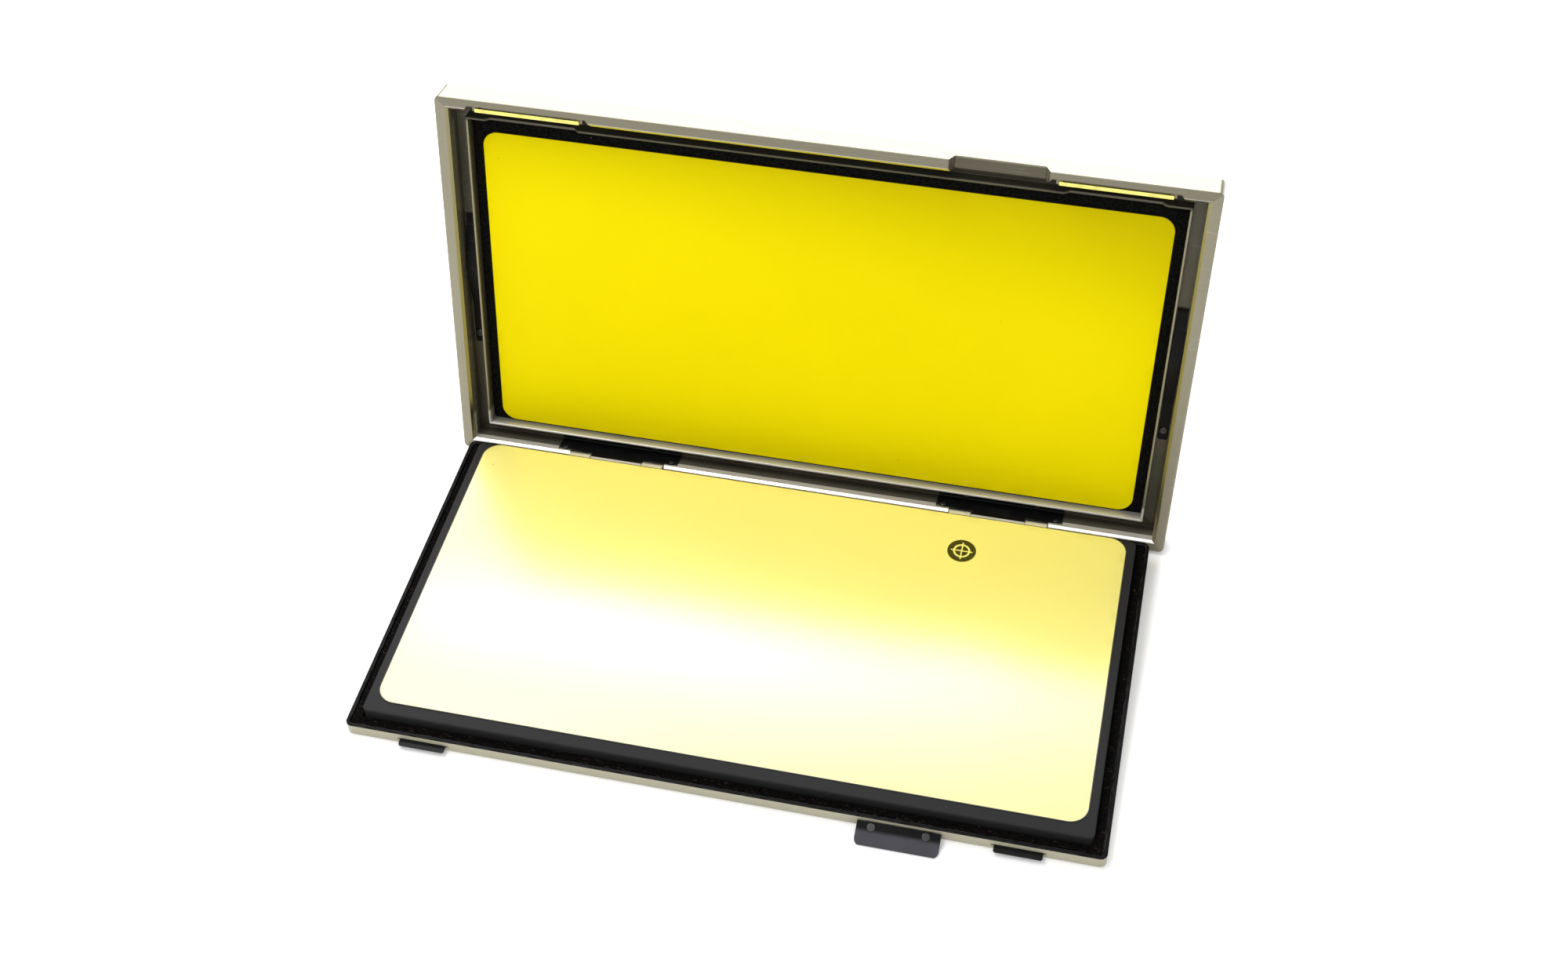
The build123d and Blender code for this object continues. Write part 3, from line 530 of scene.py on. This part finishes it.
def painted_material(name, half, colour, gloss):
    """Even stoved paint, slightly rubbed at the edges."""
    finish = bpy.context.scene.cassette_finish
    material, tree, surface = new_material(name)
    local = along_half(tree, half)
    wear = effect(tree, make_wear, vector=local)
    tone = noise_value(tree, local, scale=30.0, detail=4.0)
    paint = mottled(tree, tone, colour, 0.9, 1.08)
    paint = overlay(tree, wear["Edge"], 0.25, paint, shade(finish.worn_edge))
    paint = overlay(tree, wear["Scratches"], 0.2, paint, shade(colour, 0.45))
    cover(tree, surface, paint, blend_value(tree, tone, gloss, gloss + 0.16))
    orange_peel = noise_value(tree, local, scale=1500.0)
    relief(tree, surface, orange_peel, 0.02 * MM, strength=0.35, edge_radius=0.3 * MM)
    return material


def lacquer_material(name, half, gloss, rubbing, shine=0.12, lit_band=None):
    """Black lacquer on steel, its edges rubbed grey.

    Lit band gives the height where a painted light band starts, where it is full, and its colour.
    """
    finish = bpy.context.scene.cassette_finish
    material, tree, surface = new_material(name)
    surface.inputs["Specular IOR Level"].default_value = shine
    local = along_half(tree, half)
    wear = effect(tree, make_wear, vector=local)
    tone = noise_value(tree, local, scale=120.0, detail=3.0)
    lacquer = mottled(tree, tone, finish.black_lacquer, 0.6, 1.6)
    lacquer = overlay(tree, wear["Edge"], rubbing, lacquer, shade(finish.worn_edge))
    lacquer = overlay(tree, wear["Scratches"], 0.12, lacquer, shade(finish.worn_edge))
    # Painted reflection: a lighter band past a given height.
    if lit_band:
        start, end, band_colour = lit_band
        height = axes_of(tree, local)["Z"]
        band_mask = maths(tree, "MULTIPLY", ramp(tree, height, start, end), blend_value(tree, tone, 0.7, 1.3))
        lacquer = blend_colour(tree, band_mask, lacquer, shade(band_colour))
    cover(tree, surface, lacquer, blend_value(tree, tone, gloss, gloss + 0.2))
    orange_peel = noise_value(tree, local, scale=900.0, detail=3.0)
    relief(tree, surface, orange_peel, 0.03 * MM, strength=0.4, edge_radius=0.25 * MM)
    return material


def screen_sheet(name, node, half, colour, corner, shine):
    """Coated phosphor sheet with faint clouding, worn borders and dust, still without its finish."""
    finish = bpy.context.scene.cassette_finish
    material, tree, surface = new_material(name)
    surface.inputs["Specular IOR Level"].default_value = shine
    low, high = local_box(node, half)
    half_size = (high - low) / 2
    local = along_half(tree, half, low + half_size)
    inset = inset_from(tree, local, half_size, corner)
    tint = mottled(tree, noise_value(tree, local, scale=14.0, detail=3.0), colour, 0.95, 1.04)
    patches = ramp(tree, noise_value(tree, local, scale=90.0, detail=4.0), 0.4, 0.75)
    worn = maths(tree, "MULTIPLY", ramp(tree, inset, 5 * MM, 0.0), patches)
    tint = overlay(tree, worn, 0.25, tint, shade(colour, 0.55))
    dust = effect(tree, make_dust, vector=local, scale=70.0, size=0.022, amount=0.55)
    tint = overlay(tree, dust["Mask"], 0.55, tint, shade(colour, 0.25))
    edge = inside(tree, inset, finish.edge_line, finish.edge_line / 4)
    return SimpleNamespace(material=material, tree=tree, surface=surface, local=local,
                           half_size=half_size, tint=tint, edge=edge)


def finish_screen(sheet, gloss, waviness, crown):
    """Sealed edge, smears and gentle crown (slope per metre along X and Y) of a sheet."""
    finish = bpy.context.scene.cassette_finish
    tree, local = sheet.tree, sheet.local
    tint = blend_colour(tree, sheet.edge, sheet.tint, shade(finish.sheet_edge))
    smear = noise_value(tree, stretched(tree, local, (1.0, 2.2, 1.0), 0.3), scale=22.0)
    rough = blend_value(tree, smear, gloss, gloss + 0.06)
    cover(tree, sheet.surface, tint, maths(tree, "MULTIPLY_ADD", sheet.edge, 0.3, rough, clamp=True))
    axes = axes_of(tree, local)
    height = maths(tree, "MULTIPLY", noise_value(tree, local, scale=9.0, detail=1.0), waviness)
    for axis, slope in zip(("X", "Y"), crown):
        height = maths(tree, "MULTIPLY_ADD", maths(tree, "POWER", axes[axis], 2.0), -slope / 2, height)
    relief(tree, sheet.surface, height, 1.0)


def front_screen_material():
    """The tray's sheet, with painted shade towards its top and right."""
    colour = bpy.context.scene.cassette_finish.yellow_sheet
    sheet = screen_sheet("Yellow Screen", "front_screen", TRAY, colour, corner=7.2 * MM, shine=0.02)
    tree, reach = sheet.tree, sheet.half_size.y
    # Painted shade: the sheet darkens towards its top and right, clouded a little.
    lean = lean_of(tree, sheet.local, 0.13)
    cloud = blend_value(tree, noise_value(tree, sheet.local, scale=8.0, detail=1.0), 0.8, 1.2)
    top_right_shade = maths(tree, "POWER", ramp(tree, lean, reach * 0.2, reach * 1.25), 1.3)
    top_right_shade = maths(tree, "MULTIPLY", top_right_shade, cloud)
    sheet.tint = blend_colour(tree, top_right_shade, sheet.tint, shade(colour, 0.72))
    finish_screen(sheet, gloss=0.38, waviness=0.2 * MM, crown=(0.05, 0.1))
    return sheet.material


def printed_mark(sheet):
    """Ink of a disc that leaves out a registration ring and cross."""
    mark = bpy.context.scene.cassette_mark
    tree = sheet.tree
    soft = 0.05 * MM
    middle = Vector((sheet.half_size.x - mark.side, sheet.half_size.y - mark.drop, 0))
    flat = vector_maths(tree, "MULTIPLY", vector_maths(tree, "SUBTRACT", sheet.local, middle), (1, 1, 0))
    radius = vector_length(tree, flat)
    axes = axes_of(tree, flat)
    off_ring = maths(tree, "ABSOLUTE", maths(tree, "SUBTRACT", radius, mark.ring))
    lines = inside(tree, off_ring, mark.line / 2, soft)
    cross = inside(tree, radius, mark.ring + mark.line * 1.6, soft)
    for axis in ("X", "Y"):
        bar = inside(tree, maths(tree, "ABSOLUTE", axes[axis]), mark.line / 3, soft)
        lines = maths(tree, "MAXIMUM", lines, maths(tree, "MULTIPLY", bar, cross))
    disc = inside(tree, radius, mark.radius, soft)
    return maths(tree, "MULTIPLY", disc, maths(tree, "SUBTRACT", 1.0, lines))


def back_screen_material():
    """The lid's glossy sheet, duller towards its front left, with a printed mark."""
    colour = bpy.context.scene.cassette_finish.pale_sheet
    sheet = screen_sheet("Pale Screen", "back_screen", LID, colour, corner=8.0 * MM, shine=0.9)
    tree, surface = sheet.tree, sheet.surface
    surface.inputs["Coat Roughness"].default_value = 0.22
    surface.inputs["Coat IOR"].default_value = 1.6
    ink = printed_mark(sheet)
    sheet.tint = blend_colour(tree, ink, sheet.tint, shade(bpy.context.scene.cassette_mark.ink))
    dulled = ramp(tree, lean_of(tree, sheet.local, 0.3), -25 * MM, -110 * MM)
    coat = maths(tree, "MULTIPLY", blend_value(tree, ink, 0.8, 0.0), blend_value(tree, dulled, 1.0, 0.58))
    tree.links.new(coat, surface.inputs["Coat Weight"])
    finish_screen(sheet, gloss=0.26, waviness=0.35 * MM, crown=(0.15, 1.8))
    return sheet.material


def felt_material(name, half, colour, hairs):
    """Matted dark fibres that take nearly no gloss, with light hairs and lint."""
    finish = bpy.context.scene.cassette_finish
    material, tree, surface = new_material(name, **{
        "Roughness": 0.95, "Specular IOR Level": 0.02, "Sheen Weight": 0.02, "Sheen Roughness": 0.6})
    local = along_half(tree, half)
    fibres = effect(tree, make_fibres, vector=local)
    felt = mottled(tree, fibres["Tone"], colour, 0.35, 2.0)
    felt = overlay(tree, fibres["Hairs"], hairs, felt, shade(finish.felt_hair))
    dust = effect(tree, make_dust, vector=local, scale=160.0, size=0.05, amount=0.7)
    felt = overlay(tree, dust["Mask"], 0.6, felt, shade(finish.lint))
    tree.links.new(felt, surface.inputs["Base Color"])
    relief(tree, surface, fibres["Height"], 0.3 * MM, strength=0.8)
    return material


def foam_material():
    """Closed skin of a cellular foam, dull, with fine pits."""
    finish = bpy.context.scene.cassette_finish
    material, tree, surface = new_material("Foam Skin")
    surface.inputs["Specular IOR Level"].default_value = 0.15
    local = along_half(tree, LID)
    tone = noise_value(tree, local, scale=45.0, detail=5.0)
    skin = mottled(tree, tone, finish.foam, 0.8, 1.25)
    dust = effect(tree, make_dust, vector=local, scale=200.0, size=0.05, amount=0.75)
    skin = overlay(tree, dust["Mask"], 0.4, skin, shade(finish.foam_dust))
    cover(tree, surface, skin, blend_value(tree, tone, 0.6, 0.75))
    relief(tree, surface, noise_value(tree, local, scale=1800.0, detail=3.0), 0.08 * MM, strength=0.6)
    return material


def plain_metal_material(name, half, colour, roughness, metallic=1.0):
    """Small bright parts: drawn grain and a little tarnish."""
    material, tree, surface = new_material(name, Metallic=metallic)
    local = along_half(tree, half)
    grain = effect(tree, make_grain, vector=local, scale=60.0)
    tarnish = ramp(tree, noise_value(tree, local, scale=150.0, detail=4.0), 0.45, 0.8)
    metal = mottled(tree, grain["Tone"], colour, 0.85, 1.12)
    metal = overlay(tree, tarnish, 0.5, metal, shade(colour, 0.45))
    cover(tree, surface, metal, blend_value(tree, tarnish, roughness, roughness + 0.2))
    relief(tree, surface, grain["Height"], 0.01 * MM, strength=0.5, edge_radius=0.1 * MM)
    return material


def board_material():
    """Dark pressed board."""
    colour = bpy.context.scene.cassette_finish.board
    material, tree, surface = new_material("Pressed Board", Roughness=0.8)
    fleck = noise_value(tree, along_half(tree, LID), scale=500.0, detail=4.0)
    tree.links.new(mottled(tree, fleck, colour, 0.4, 1.0), surface.inputs["Base Color"])
    relief(tree, surface, fleck, 0.05 * MM, strength=0.5)
    return material


# ---------------------------------------------------------------- mesh tools
SMOOTH_BELOW = math.radians(40)  # sharper edges than this stay sharp
ARC_STEPS = 4  # faces in a quarter turn of a soft edge
CORNER_STEPS = 6  # faces in a quarter turn of a corner in plan
TIGHTEST_CORNER = 0.2 * MM
FELT_TUFT = 1.7 * MM  # size of the felt's humps and hollows
FELT_SEED = 7  # keeps the humps the same in every run
FELT_GAP = 0.3 * MM  # room between the felt and what it bridges


def new_piece(name, mesh, half, slot, material, *nodes):
    """An object from a bmesh that was drawn in the axes of one half."""
    mesh.transform(half.place)
    bmesh.ops.recalc_face_normals(mesh, faces=mesh.faces)
    data = bpy.data.meshes.new(name)
    mesh.to_mesh(data)
    mesh.free()
    for face in data.polygons:
        face.use_smooth = True
    data.set_sharp_from_angle(angle=SMOOTH_BELOW)
    piece = bpy.data.objects.new(name, data)
    bpy.context.scene.collection.objects.link(piece)
    data.materials.append(material)
    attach(piece, "tray" if half is TRAY else "lid")
    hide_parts(*nodes)
    return piece


def round_corners(low, high, inset, radius):
    """Points of a rectangle with round corners, set in from low and high."""
    radius = max(radius - inset, TIGHTEST_CORNER)
    points = []
    for turn, (x, y) in enumerate(((high.x, high.y), (low.x, high.y), (low.x, low.y), (high.x, low.y))):
        middle_x = x - math.copysign(inset + radius, x - (low.x + high.x) / 2)
        middle_y = y - math.copysign(inset + radius, y - (low.y + high.y) / 2)
        for step in range(CORNER_STEPS + 1):
            angle = math.pi / 2 * (turn + step / CORNER_STEPS)
            points.append((middle_x + radius * math.cos(angle), middle_y + radius * math.sin(angle)))
    return points


def loft(mesh, rings):
    """Skin through closed rings, with both ends closed."""
    rows = [[mesh.verts.new(point) for point in ring] for ring in rings]
    for below, above in zip(rows, rows[1:]):
        for index in range(len(below)):
            after = (index + 1) % len(below)
            mesh.faces.new((below[index], below[after], above[after], above[index]))
    mesh.faces.new(list(reversed(rows[0])))
    mesh.faces.new(rows[-1])


def rolled_edge(edge):
    """Inset and rise of a quarter round, from its foot to its top."""
    angles = [math.pi / 2 * step / ARC_STEPS for step in range(ARC_STEPS + 1)]
    return [(edge * (1 - math.cos(angle)), edge * math.sin(angle)) for angle in angles]


def cushion_slab(low, high, corner, edge, hollow):
    """A soft slab: sides a little hollow, upper edge rolled over."""
    shoulder = high.z - edge
    levels = []
    for part in (0.0, 0.25, 0.5, 0.75):
        levels.append((hollow * math.sin(math.pi * part), low.z + (shoulder - low.z) * part))
    levels += [(inset, shoulder + rise) for inset, rise in rolled_edge(edge)]
    mesh = bmesh.new()
    loft(mesh, [[(x, y, z) for x, y in round_corners(low, high, inset, corner)] for inset, z in levels])
    return mesh


def felt_section(left, right, foot, top, edge):
    """Points (across, height) of a strip's section, from foot to foot over the top."""
    shoulder = top - edge
    roll = rolled_edge(edge)[1:-1]
    section = [(left, foot), (left, shoulder)]
    section += [(left + inset, shoulder + rise) for inset, rise in roll]
    for step in range(ARC_STEPS + 1):
        section.append((left + edge + (right - left - 2 * edge) * step / ARC_STEPS, top))
    section += [(right - inset, shoulder + rise) for inset, rise in reversed(roll)]
    section += [(right, shoulder), (right, foot)]
    return section


def felt_strip(low, high, along, arches):
    """A strip of felt whose surface wanders, hollowed under where arches say."""
    lining = bpy.context.scene.cassette_lining
    across = 1 - along
    run = high[along] - low[along]
    count = max(2, round(run / lining.felt_step))
    rings = []
    for index in range(count + 1):
        place = low[along] + run * index / count
        foot = low.z
        for start, end, top in arches:
            if start <= place <= end:
                foot = top
        ring = []
        for side, z in felt_section(low[across], high[across], foot, high.z, lining.felt_edge):
            wander = Vector((0, 0, 0))
            if z > foot + lining.felt_edge / 2:
                wander = noise.noise_vector(Vector((place, side, z)) / FELT_TUFT) * lining.felt_pull
            point = [0.0, 0.0, min(z + wander.z - lining.felt_pull / 2, high.z)]
            point[along] = place
            point[across] = min(max(side + wander.x, low[across]), high[across])
            ring.append(point)
        rings.append(ring)
    mesh = bmesh.new()
    loft(mesh, rings)
    return mesh


# ---------------------------------------------------------------- operators
class CASSETTE_OT_tray_frame(bpy.types.Operator):
    """Finish the mitred frame rails, the back panel and the hidden corner keys"""
    bl_idname = "cassette.tray_frame"
    bl_label = "Tray Frame"

    def execute(self, context):
        finish = context.scene.cassette_finish
        # Lit and shaded copies of one aluminium: the long rails toned 0.8 with a painted light bevel, the short
        # rails 1.05 with a painted dark olive bevel.
        level = aluminium_material("Drawn Aluminium", 0.0, finish.lit_bevel, tone=0.8)
        upright = aluminium_material("Drawn Aluminium Upright", math.pi / 2, finish.shaded_bevel, tone=1.05)
        dress(level, "bare_aluminium", "frame_rail_top", "frame_rail_bottom")
        dress(upright, "bare_aluminium", "frame_rail_left", "frame_rail_right")
        panel = painted_material("Panel Paint", TRAY, finish.panel_paint, gloss=0.42)
        dress(panel, "grey_panel", "front_panel")
        keys = plain_metal_material("Cast Keys", TRAY, finish.key_metal, roughness=0.5)
        dress(keys, "zinc_keys", "corner_keys")
        return {"FINISHED"}


class CASSETTE_OT_screens(bpy.types.Operator):
    """Finish both phosphor screens"""
    bl_idname = "cassette.screens"
    bl_label = "Screens"

    def execute(self, context):
        dress(front_screen_material(), "yellow_screen", "front_screen")
        dress(back_screen_material(), "pale_screen", "back_screen")
        return {"FINISHED"}


class CASSETTE_OT_backing_mat(bpy.types.Operator):
    """Make the black mat behind the front screen"""
    bl_idname = "cassette.backing_mat"
    bl_label = "Backing Mat"

    def execute(self, context):
        lining = context.scene.cassette_lining
        low, high = local_box("front_mat", TRAY)
        mesh = cushion_slab(low, high, lining.mat_corner, lining.mat_edge, hollow=0.0)
        material = felt_material("Black Mat", TRAY, context.scene.cassette_finish.mat, hairs=0.1)
        piece = new_piece("backing_mat", mesh, TRAY, "black_mat", material, "front_mat")
        return {"FINISHED"}


class CASSETTE_OT_pressure_pad(bpy.types.Operator):
    """Make the foam pad that presses the screens together"""
    bl_idname = "cassette.pressure_pad"
    bl_label = "Pressure Pad"

    def execute(self, context):
        lining = context.scene.cassette_lining
        low, high = local_box("foam_pad", LID)
        mesh = cushion_slab(low, high, lining.pad_corner, lining.pad_edge, lining.pad_hollow)
        piece = new_piece("pressure_pad", mesh, LID, "black_foam", foam_material(), "foam_pad")
        return {"FINISHED"}


class CASSETTE_OT_light_trap_felt(bpy.types.Operator):
    """Make the four felt strips of the light trap"""
    bl_idname = "cassette.light_trap_felt"
    bl_label = "Light Trap Felt"

    def execute(self, context):
        noise.seed_set(FELT_SEED)
        material = felt_material("Brown Felt", LID, context.scene.cassette_finish.felt, hairs=0.5)
        arches = []
        for node in ("latch_hook_left", "latch_hook_right", "tab_tongue"):
            low, high = local_box(node, LID)
            arches.append((low.x - FELT_GAP, high.x + FELT_GAP, high.z + FELT_GAP))
        for side, along in (("front", 0), ("back", 0), ("left", 1), ("right", 1)):
            node = f"felt_{side}"
            low, high = local_box(node, LID)
            mesh = felt_strip(low, high, along, arches if side == "front" else [])
            piece = new_piece(f"light_trap_{side}", mesh, LID, "brown_felt", material, node)
        return {"FINISHED"}


class CASSETTE_OT_lid_shell(bpy.types.Operator):
    """Finish the lid's pan, its black edge trim and the board inside"""
    bl_idname = "cassette.lid_shell"
    bl_label = "Lid Shell"

    def execute(self, context):
        paint = painted_material("Lid Paint", LID, context.scene.cassette_finish.lid_paint, gloss=0.38)
        dress(paint, "beige_paint", "lid_pan")
        trim = lacquer_material("Black Trim", LID, gloss=0.16, rubbing=0.5, shine=0.03)
        dress(trim, "black_trim", *(f"lid_trim_{side}" for side in ("front", "back", "left", "right")))
        dress(board_material(), "board_and_foil", "backing_board")
        return {"FINISHED"}


class CASSETTE_OT_hinges(bpy.types.Operator):
    """Finish the hinge leaves, pins and screws"""
    bl_idname = "cassette.hinges"
    bl_label = "Hinges"

    def execute(self, context):
        finish = context.scene.cassette_finish
        # Painted reflection: a light band on the knuckles of the tray's leaves, past 0.4 to 0.6 mm along the
        # tray's Z from the hinge axis.
        knuckles = (0.4 * MM, 0.6 * MM, finish.knuckle_reflection)
        leaves = lacquer_material("Tray Hinge Lacquer", TRAY, gloss=0.30, rubbing=0.45, lit_band=knuckles)
        dress(leaves, "black_steel", "frame_hinge_leaf_left", "frame_hinge_leaf_right")
        plated = plain_metal_material("Plated Leaf", LID, finish.leaf_metal, roughness=0.30, metallic=0.35)
        dress(plated, "plated_strip", "lid_hinge_leaf_left", "lid_hinge_leaf_right")
        screws = plain_metal_material("Blackened Screws", TRAY, finish.screw_metal, roughness=0.30)
        dress(screws, "black_screws", "frame_hinge_screws", "spring_screws")
        pins = plain_metal_material("Ground Pins", LID, finish.pin_metal, roughness=0.25)
        dress(pins, "steel_pins", "hinge_pin_left", "hinge_pin_right")
        return {"FINISHED"}


class CASSETTE_OT_latches(bpy.types.Operator):
    """Finish the hooks, the strike bars, the ejector springs and the pull tab"""
    bl_idname = "cassette.latches"
    bl_label = "Latches"

    def execute(self, context):
        finish = context.scene.cassette_finish
        hooks = lacquer_material("Latch Lacquer", LID, gloss=0.24, rubbing=0.6)
        dress(hooks, "black_steel", "latch_hook_left", "latch_hook_right", "tab_tongue")
        fold = local_box("pull_tab", LID)[1].z - 1.0 * MM
        # Painted reflection: the pull tab's lower leg, below its fold, is lightened to a grey-blue sheen.
        lower_leg = (fold, fold - 0.8 * MM, finish.tab_sheen)
        tab = lacquer_material("Tab Lacquer", LID, gloss=0.22, rubbing=0.6, shine=0.06, lit_band=lower_leg)
        dress(tab, "black_steel", "pull_tab")
        # Painted reflection: the strike bars are tinted yellow for the yellow screen reflected in them.
        bars = plain_metal_material("Plated Strip", TRAY, finish.bar_reflected_yellow, roughness=0.22)
        dress(bars, "plated_strip", "strike_bar_left", "strike_bar_right")
        springs = lacquer_material("Blued Spring", TRAY, gloss=0.30, rubbing=0.4)
        dress(springs, "black_spring", "ejector_spring_left", "ejector_spring_right")
        rivets = lacquer_material("Rivet Lacquer", LID, gloss=0.10, rubbing=0.9, shine=0.7)
        dress(rivets, "steel_rivets", "tab_rivets")
        return {"FINISHED"}


class CASSETTE_OT_stage(bpy.types.Operator):
    """Set up the white table, the lamps and the camera"""
    bl_idname = "cassette.stage"
    bl_label = "Stage"

    def execute(self, context):
        stage = context.scene.cassette_stage
        make_floor(stage)
        make_world(stage)
        for name, setting, size, place in LAMPS:
            make_lamp(name, getattr(stage, setting), size, place)
        make_camera(stage)
        context.scene.view_settings.view_transform = "Standard"
        return {"FINISHED"}


# ---------------------------------------------------------------- stage
# Each lamp's name, the setting that holds its power, its two sides and its place, in metres.
LAMPS = (
    ("Key Lamp", "key_power", (0.9, 0.5), (-0.55, -0.12, 1.45)),
    ("Front Lamp", "front_power", (0.9, 0.4), (-0.26, -1.07, 1.22)),
    ("Back Lamp", "back_power", (0.88, 0.20), (-0.18, 0.55, 0.88)),
    ("Rim Lamp", "rim_power", (1.6, 0.7), (-0.24, 1.46, 0.88)),
)
LAMP_AIM = Vector((0, 0, 0.05))
# The table's own glow for the camera and mirrors, near the cassette and far from it.
NEAR, FAR = 0.7, 2.2
NEAR_GLOW, FAR_GLOW = 0.22, 0.97


def seen_or_mirrored(tree):
    """1 for rays that come from the camera, a mirror or clear material."""
    rays = add(tree, "ShaderNodeLightPath").outputs
    both = maths(tree, "MAXIMUM", rays["Is Camera Ray"], rays["Is Glossy Ray"])
    return maths(tree, "MAXIMUM", both, rays["Is Transmission Ray"])


def table_material(stage):
    """White that fades into the room's white far away, and keeps the shadow."""
    material = bpy.data.materials.new("White Table")
    material.use_nodes = True
    tree = material.node_tree
    tree.nodes.clear()
    card = add(tree, "ShaderNodeBsdfDiffuse", {"Color": shade(stage.floor_paint)})
    away = vector_length(tree, add(tree, "ShaderNodeTexCoord").outputs["Object"])
    strength = blend_value(tree, ramp(tree, away, NEAR, FAR), NEAR_GLOW, FAR_GLOW)
    strength = maths(tree, "MULTIPLY", seen_or_mirrored(tree), strength)
    glow = add(tree, "ShaderNodeEmission", {"Strength": strength})
    both = add(tree, "ShaderNodeAddShader", {0: card.outputs[0], 1: glow.outputs[0]})
    add(tree, "ShaderNodeOutputMaterial", {"Surface": both.outputs[0]})
    return material


def make_floor(stage):
    """A square table top."""
    half = stage.floor_size / 2
    mesh = bmesh.new()
    corners = ((-half, -half), (half, -half), (half, half), (-half, half))
    mesh.faces.new([mesh.verts.new((x, y, 0)) for x, y in corners])
    data = bpy.data.meshes.new("Table")
    mesh.to_mesh(data)
    mesh.free()
    data.materials.append(table_material(stage))
    table = bpy.data.objects.new("Table", data)
    bpy.context.scene.collection.objects.link(table)


def make_world(stage):
    """Even light from all sides, which the camera and mirrors see as white."""
    world = bpy.data.worlds.new("Studio")
    world.use_nodes = True
    tree = world.node_tree
    tree.nodes.clear()
    level = blend_value(tree, seen_or_mirrored(tree), stage.ambient, 1.0)
    room = add(tree, "ShaderNodeBackground", {"Color": (1, 1, 1, 1), "Strength": level})
    add(tree, "ShaderNodeOutputWorld", {"Surface": room.outputs[0]})
    bpy.context.scene.world = world


def make_lamp(name, power, size, place):
    """A rectangular soft lamp aimed at the cassette."""
    data = bpy.data.lights.new(name, "AREA")
    data.energy = power
    data.shape = "RECTANGLE"
    data.size, data.size_y = size
    lamp = bpy.data.objects.new(name, data)
    bpy.context.scene.collection.objects.link(lamp)
    lamp.location = place
    lamp.rotation_euler = (LAMP_AIM - Vector(place)).to_track_quat("-Z", "Y").to_euler()


def make_camera(stage):
    camera = bpy.data.objects.new("Camera", bpy.data.cameras.new("Camera"))
    bpy.context.scene.collection.objects.link(camera)
    camera.location = stage.camera_place
    camera.rotation_euler = stage.camera_turn
    camera.data.sensor_width = 36.0
    camera.data.lens = stage.lens
    camera.data.clip_start = 0.01
    bpy.context.scene.camera = camera


# ---------------------------------------------------------------- panel and registration
STEPS = (
    CASSETTE_OT_tray_frame,
    CASSETTE_OT_screens,
    CASSETTE_OT_backing_mat,
    CASSETTE_OT_pressure_pad,
    CASSETTE_OT_light_trap_felt,
    CASSETTE_OT_lid_shell,
    CASSETTE_OT_hinges,
    CASSETTE_OT_latches,
    CASSETTE_OT_stage,
)
GROUPS = {
    "cassette_finish": FinishSettings,
    "cassette_lining": LiningSettings,
    "cassette_mark": MarkSettings,
    "cassette_stage": StageSettings,
}


class CASSETTE_PT_panel(bpy.types.Panel):
    """Sizes, colours and steps of the cassette"""
    bl_idname = "CASSETTE_PT_panel"
    bl_label = "Film Cassette"
    bl_space_type = "VIEW_3D"
    bl_region_type = "UI"
    bl_category = "Cassette"

    def draw(self, context):
        for step in STEPS:
            self.layout.operator(step.bl_idname)
        for name in GROUPS:
            settings = getattr(context.scene, name)
            box = self.layout.box()
            for key in settings.bl_rna.properties.keys():
                if key not in ("rna_type", "name"):
                    box.prop(settings, key)


def register():
    for name, group in GROUPS.items():
        bpy.utils.register_class(group)
        setattr(bpy.types.Scene, name, bpy.props.PointerProperty(type=group))
    for step in STEPS:
        bpy.utils.register_class(step)
    bpy.utils.register_class(CASSETTE_PT_panel)


def unregister():
    bpy.utils.unregister_class(CASSETTE_PT_panel)
    for step in reversed(STEPS):
        bpy.utils.unregister_class(step)
    for name, group in GROUPS.items():
        delattr(bpy.types.Scene, name)
        bpy.utils.unregister_class(group)


def main():
    register()
    for step in STEPS:
        category, name = step.bl_idname.split(".")
        getattr(getattr(bpy.ops, category), name)()
    bpy.context.view_layer.update()


if __name__ == "__main__":
    main()
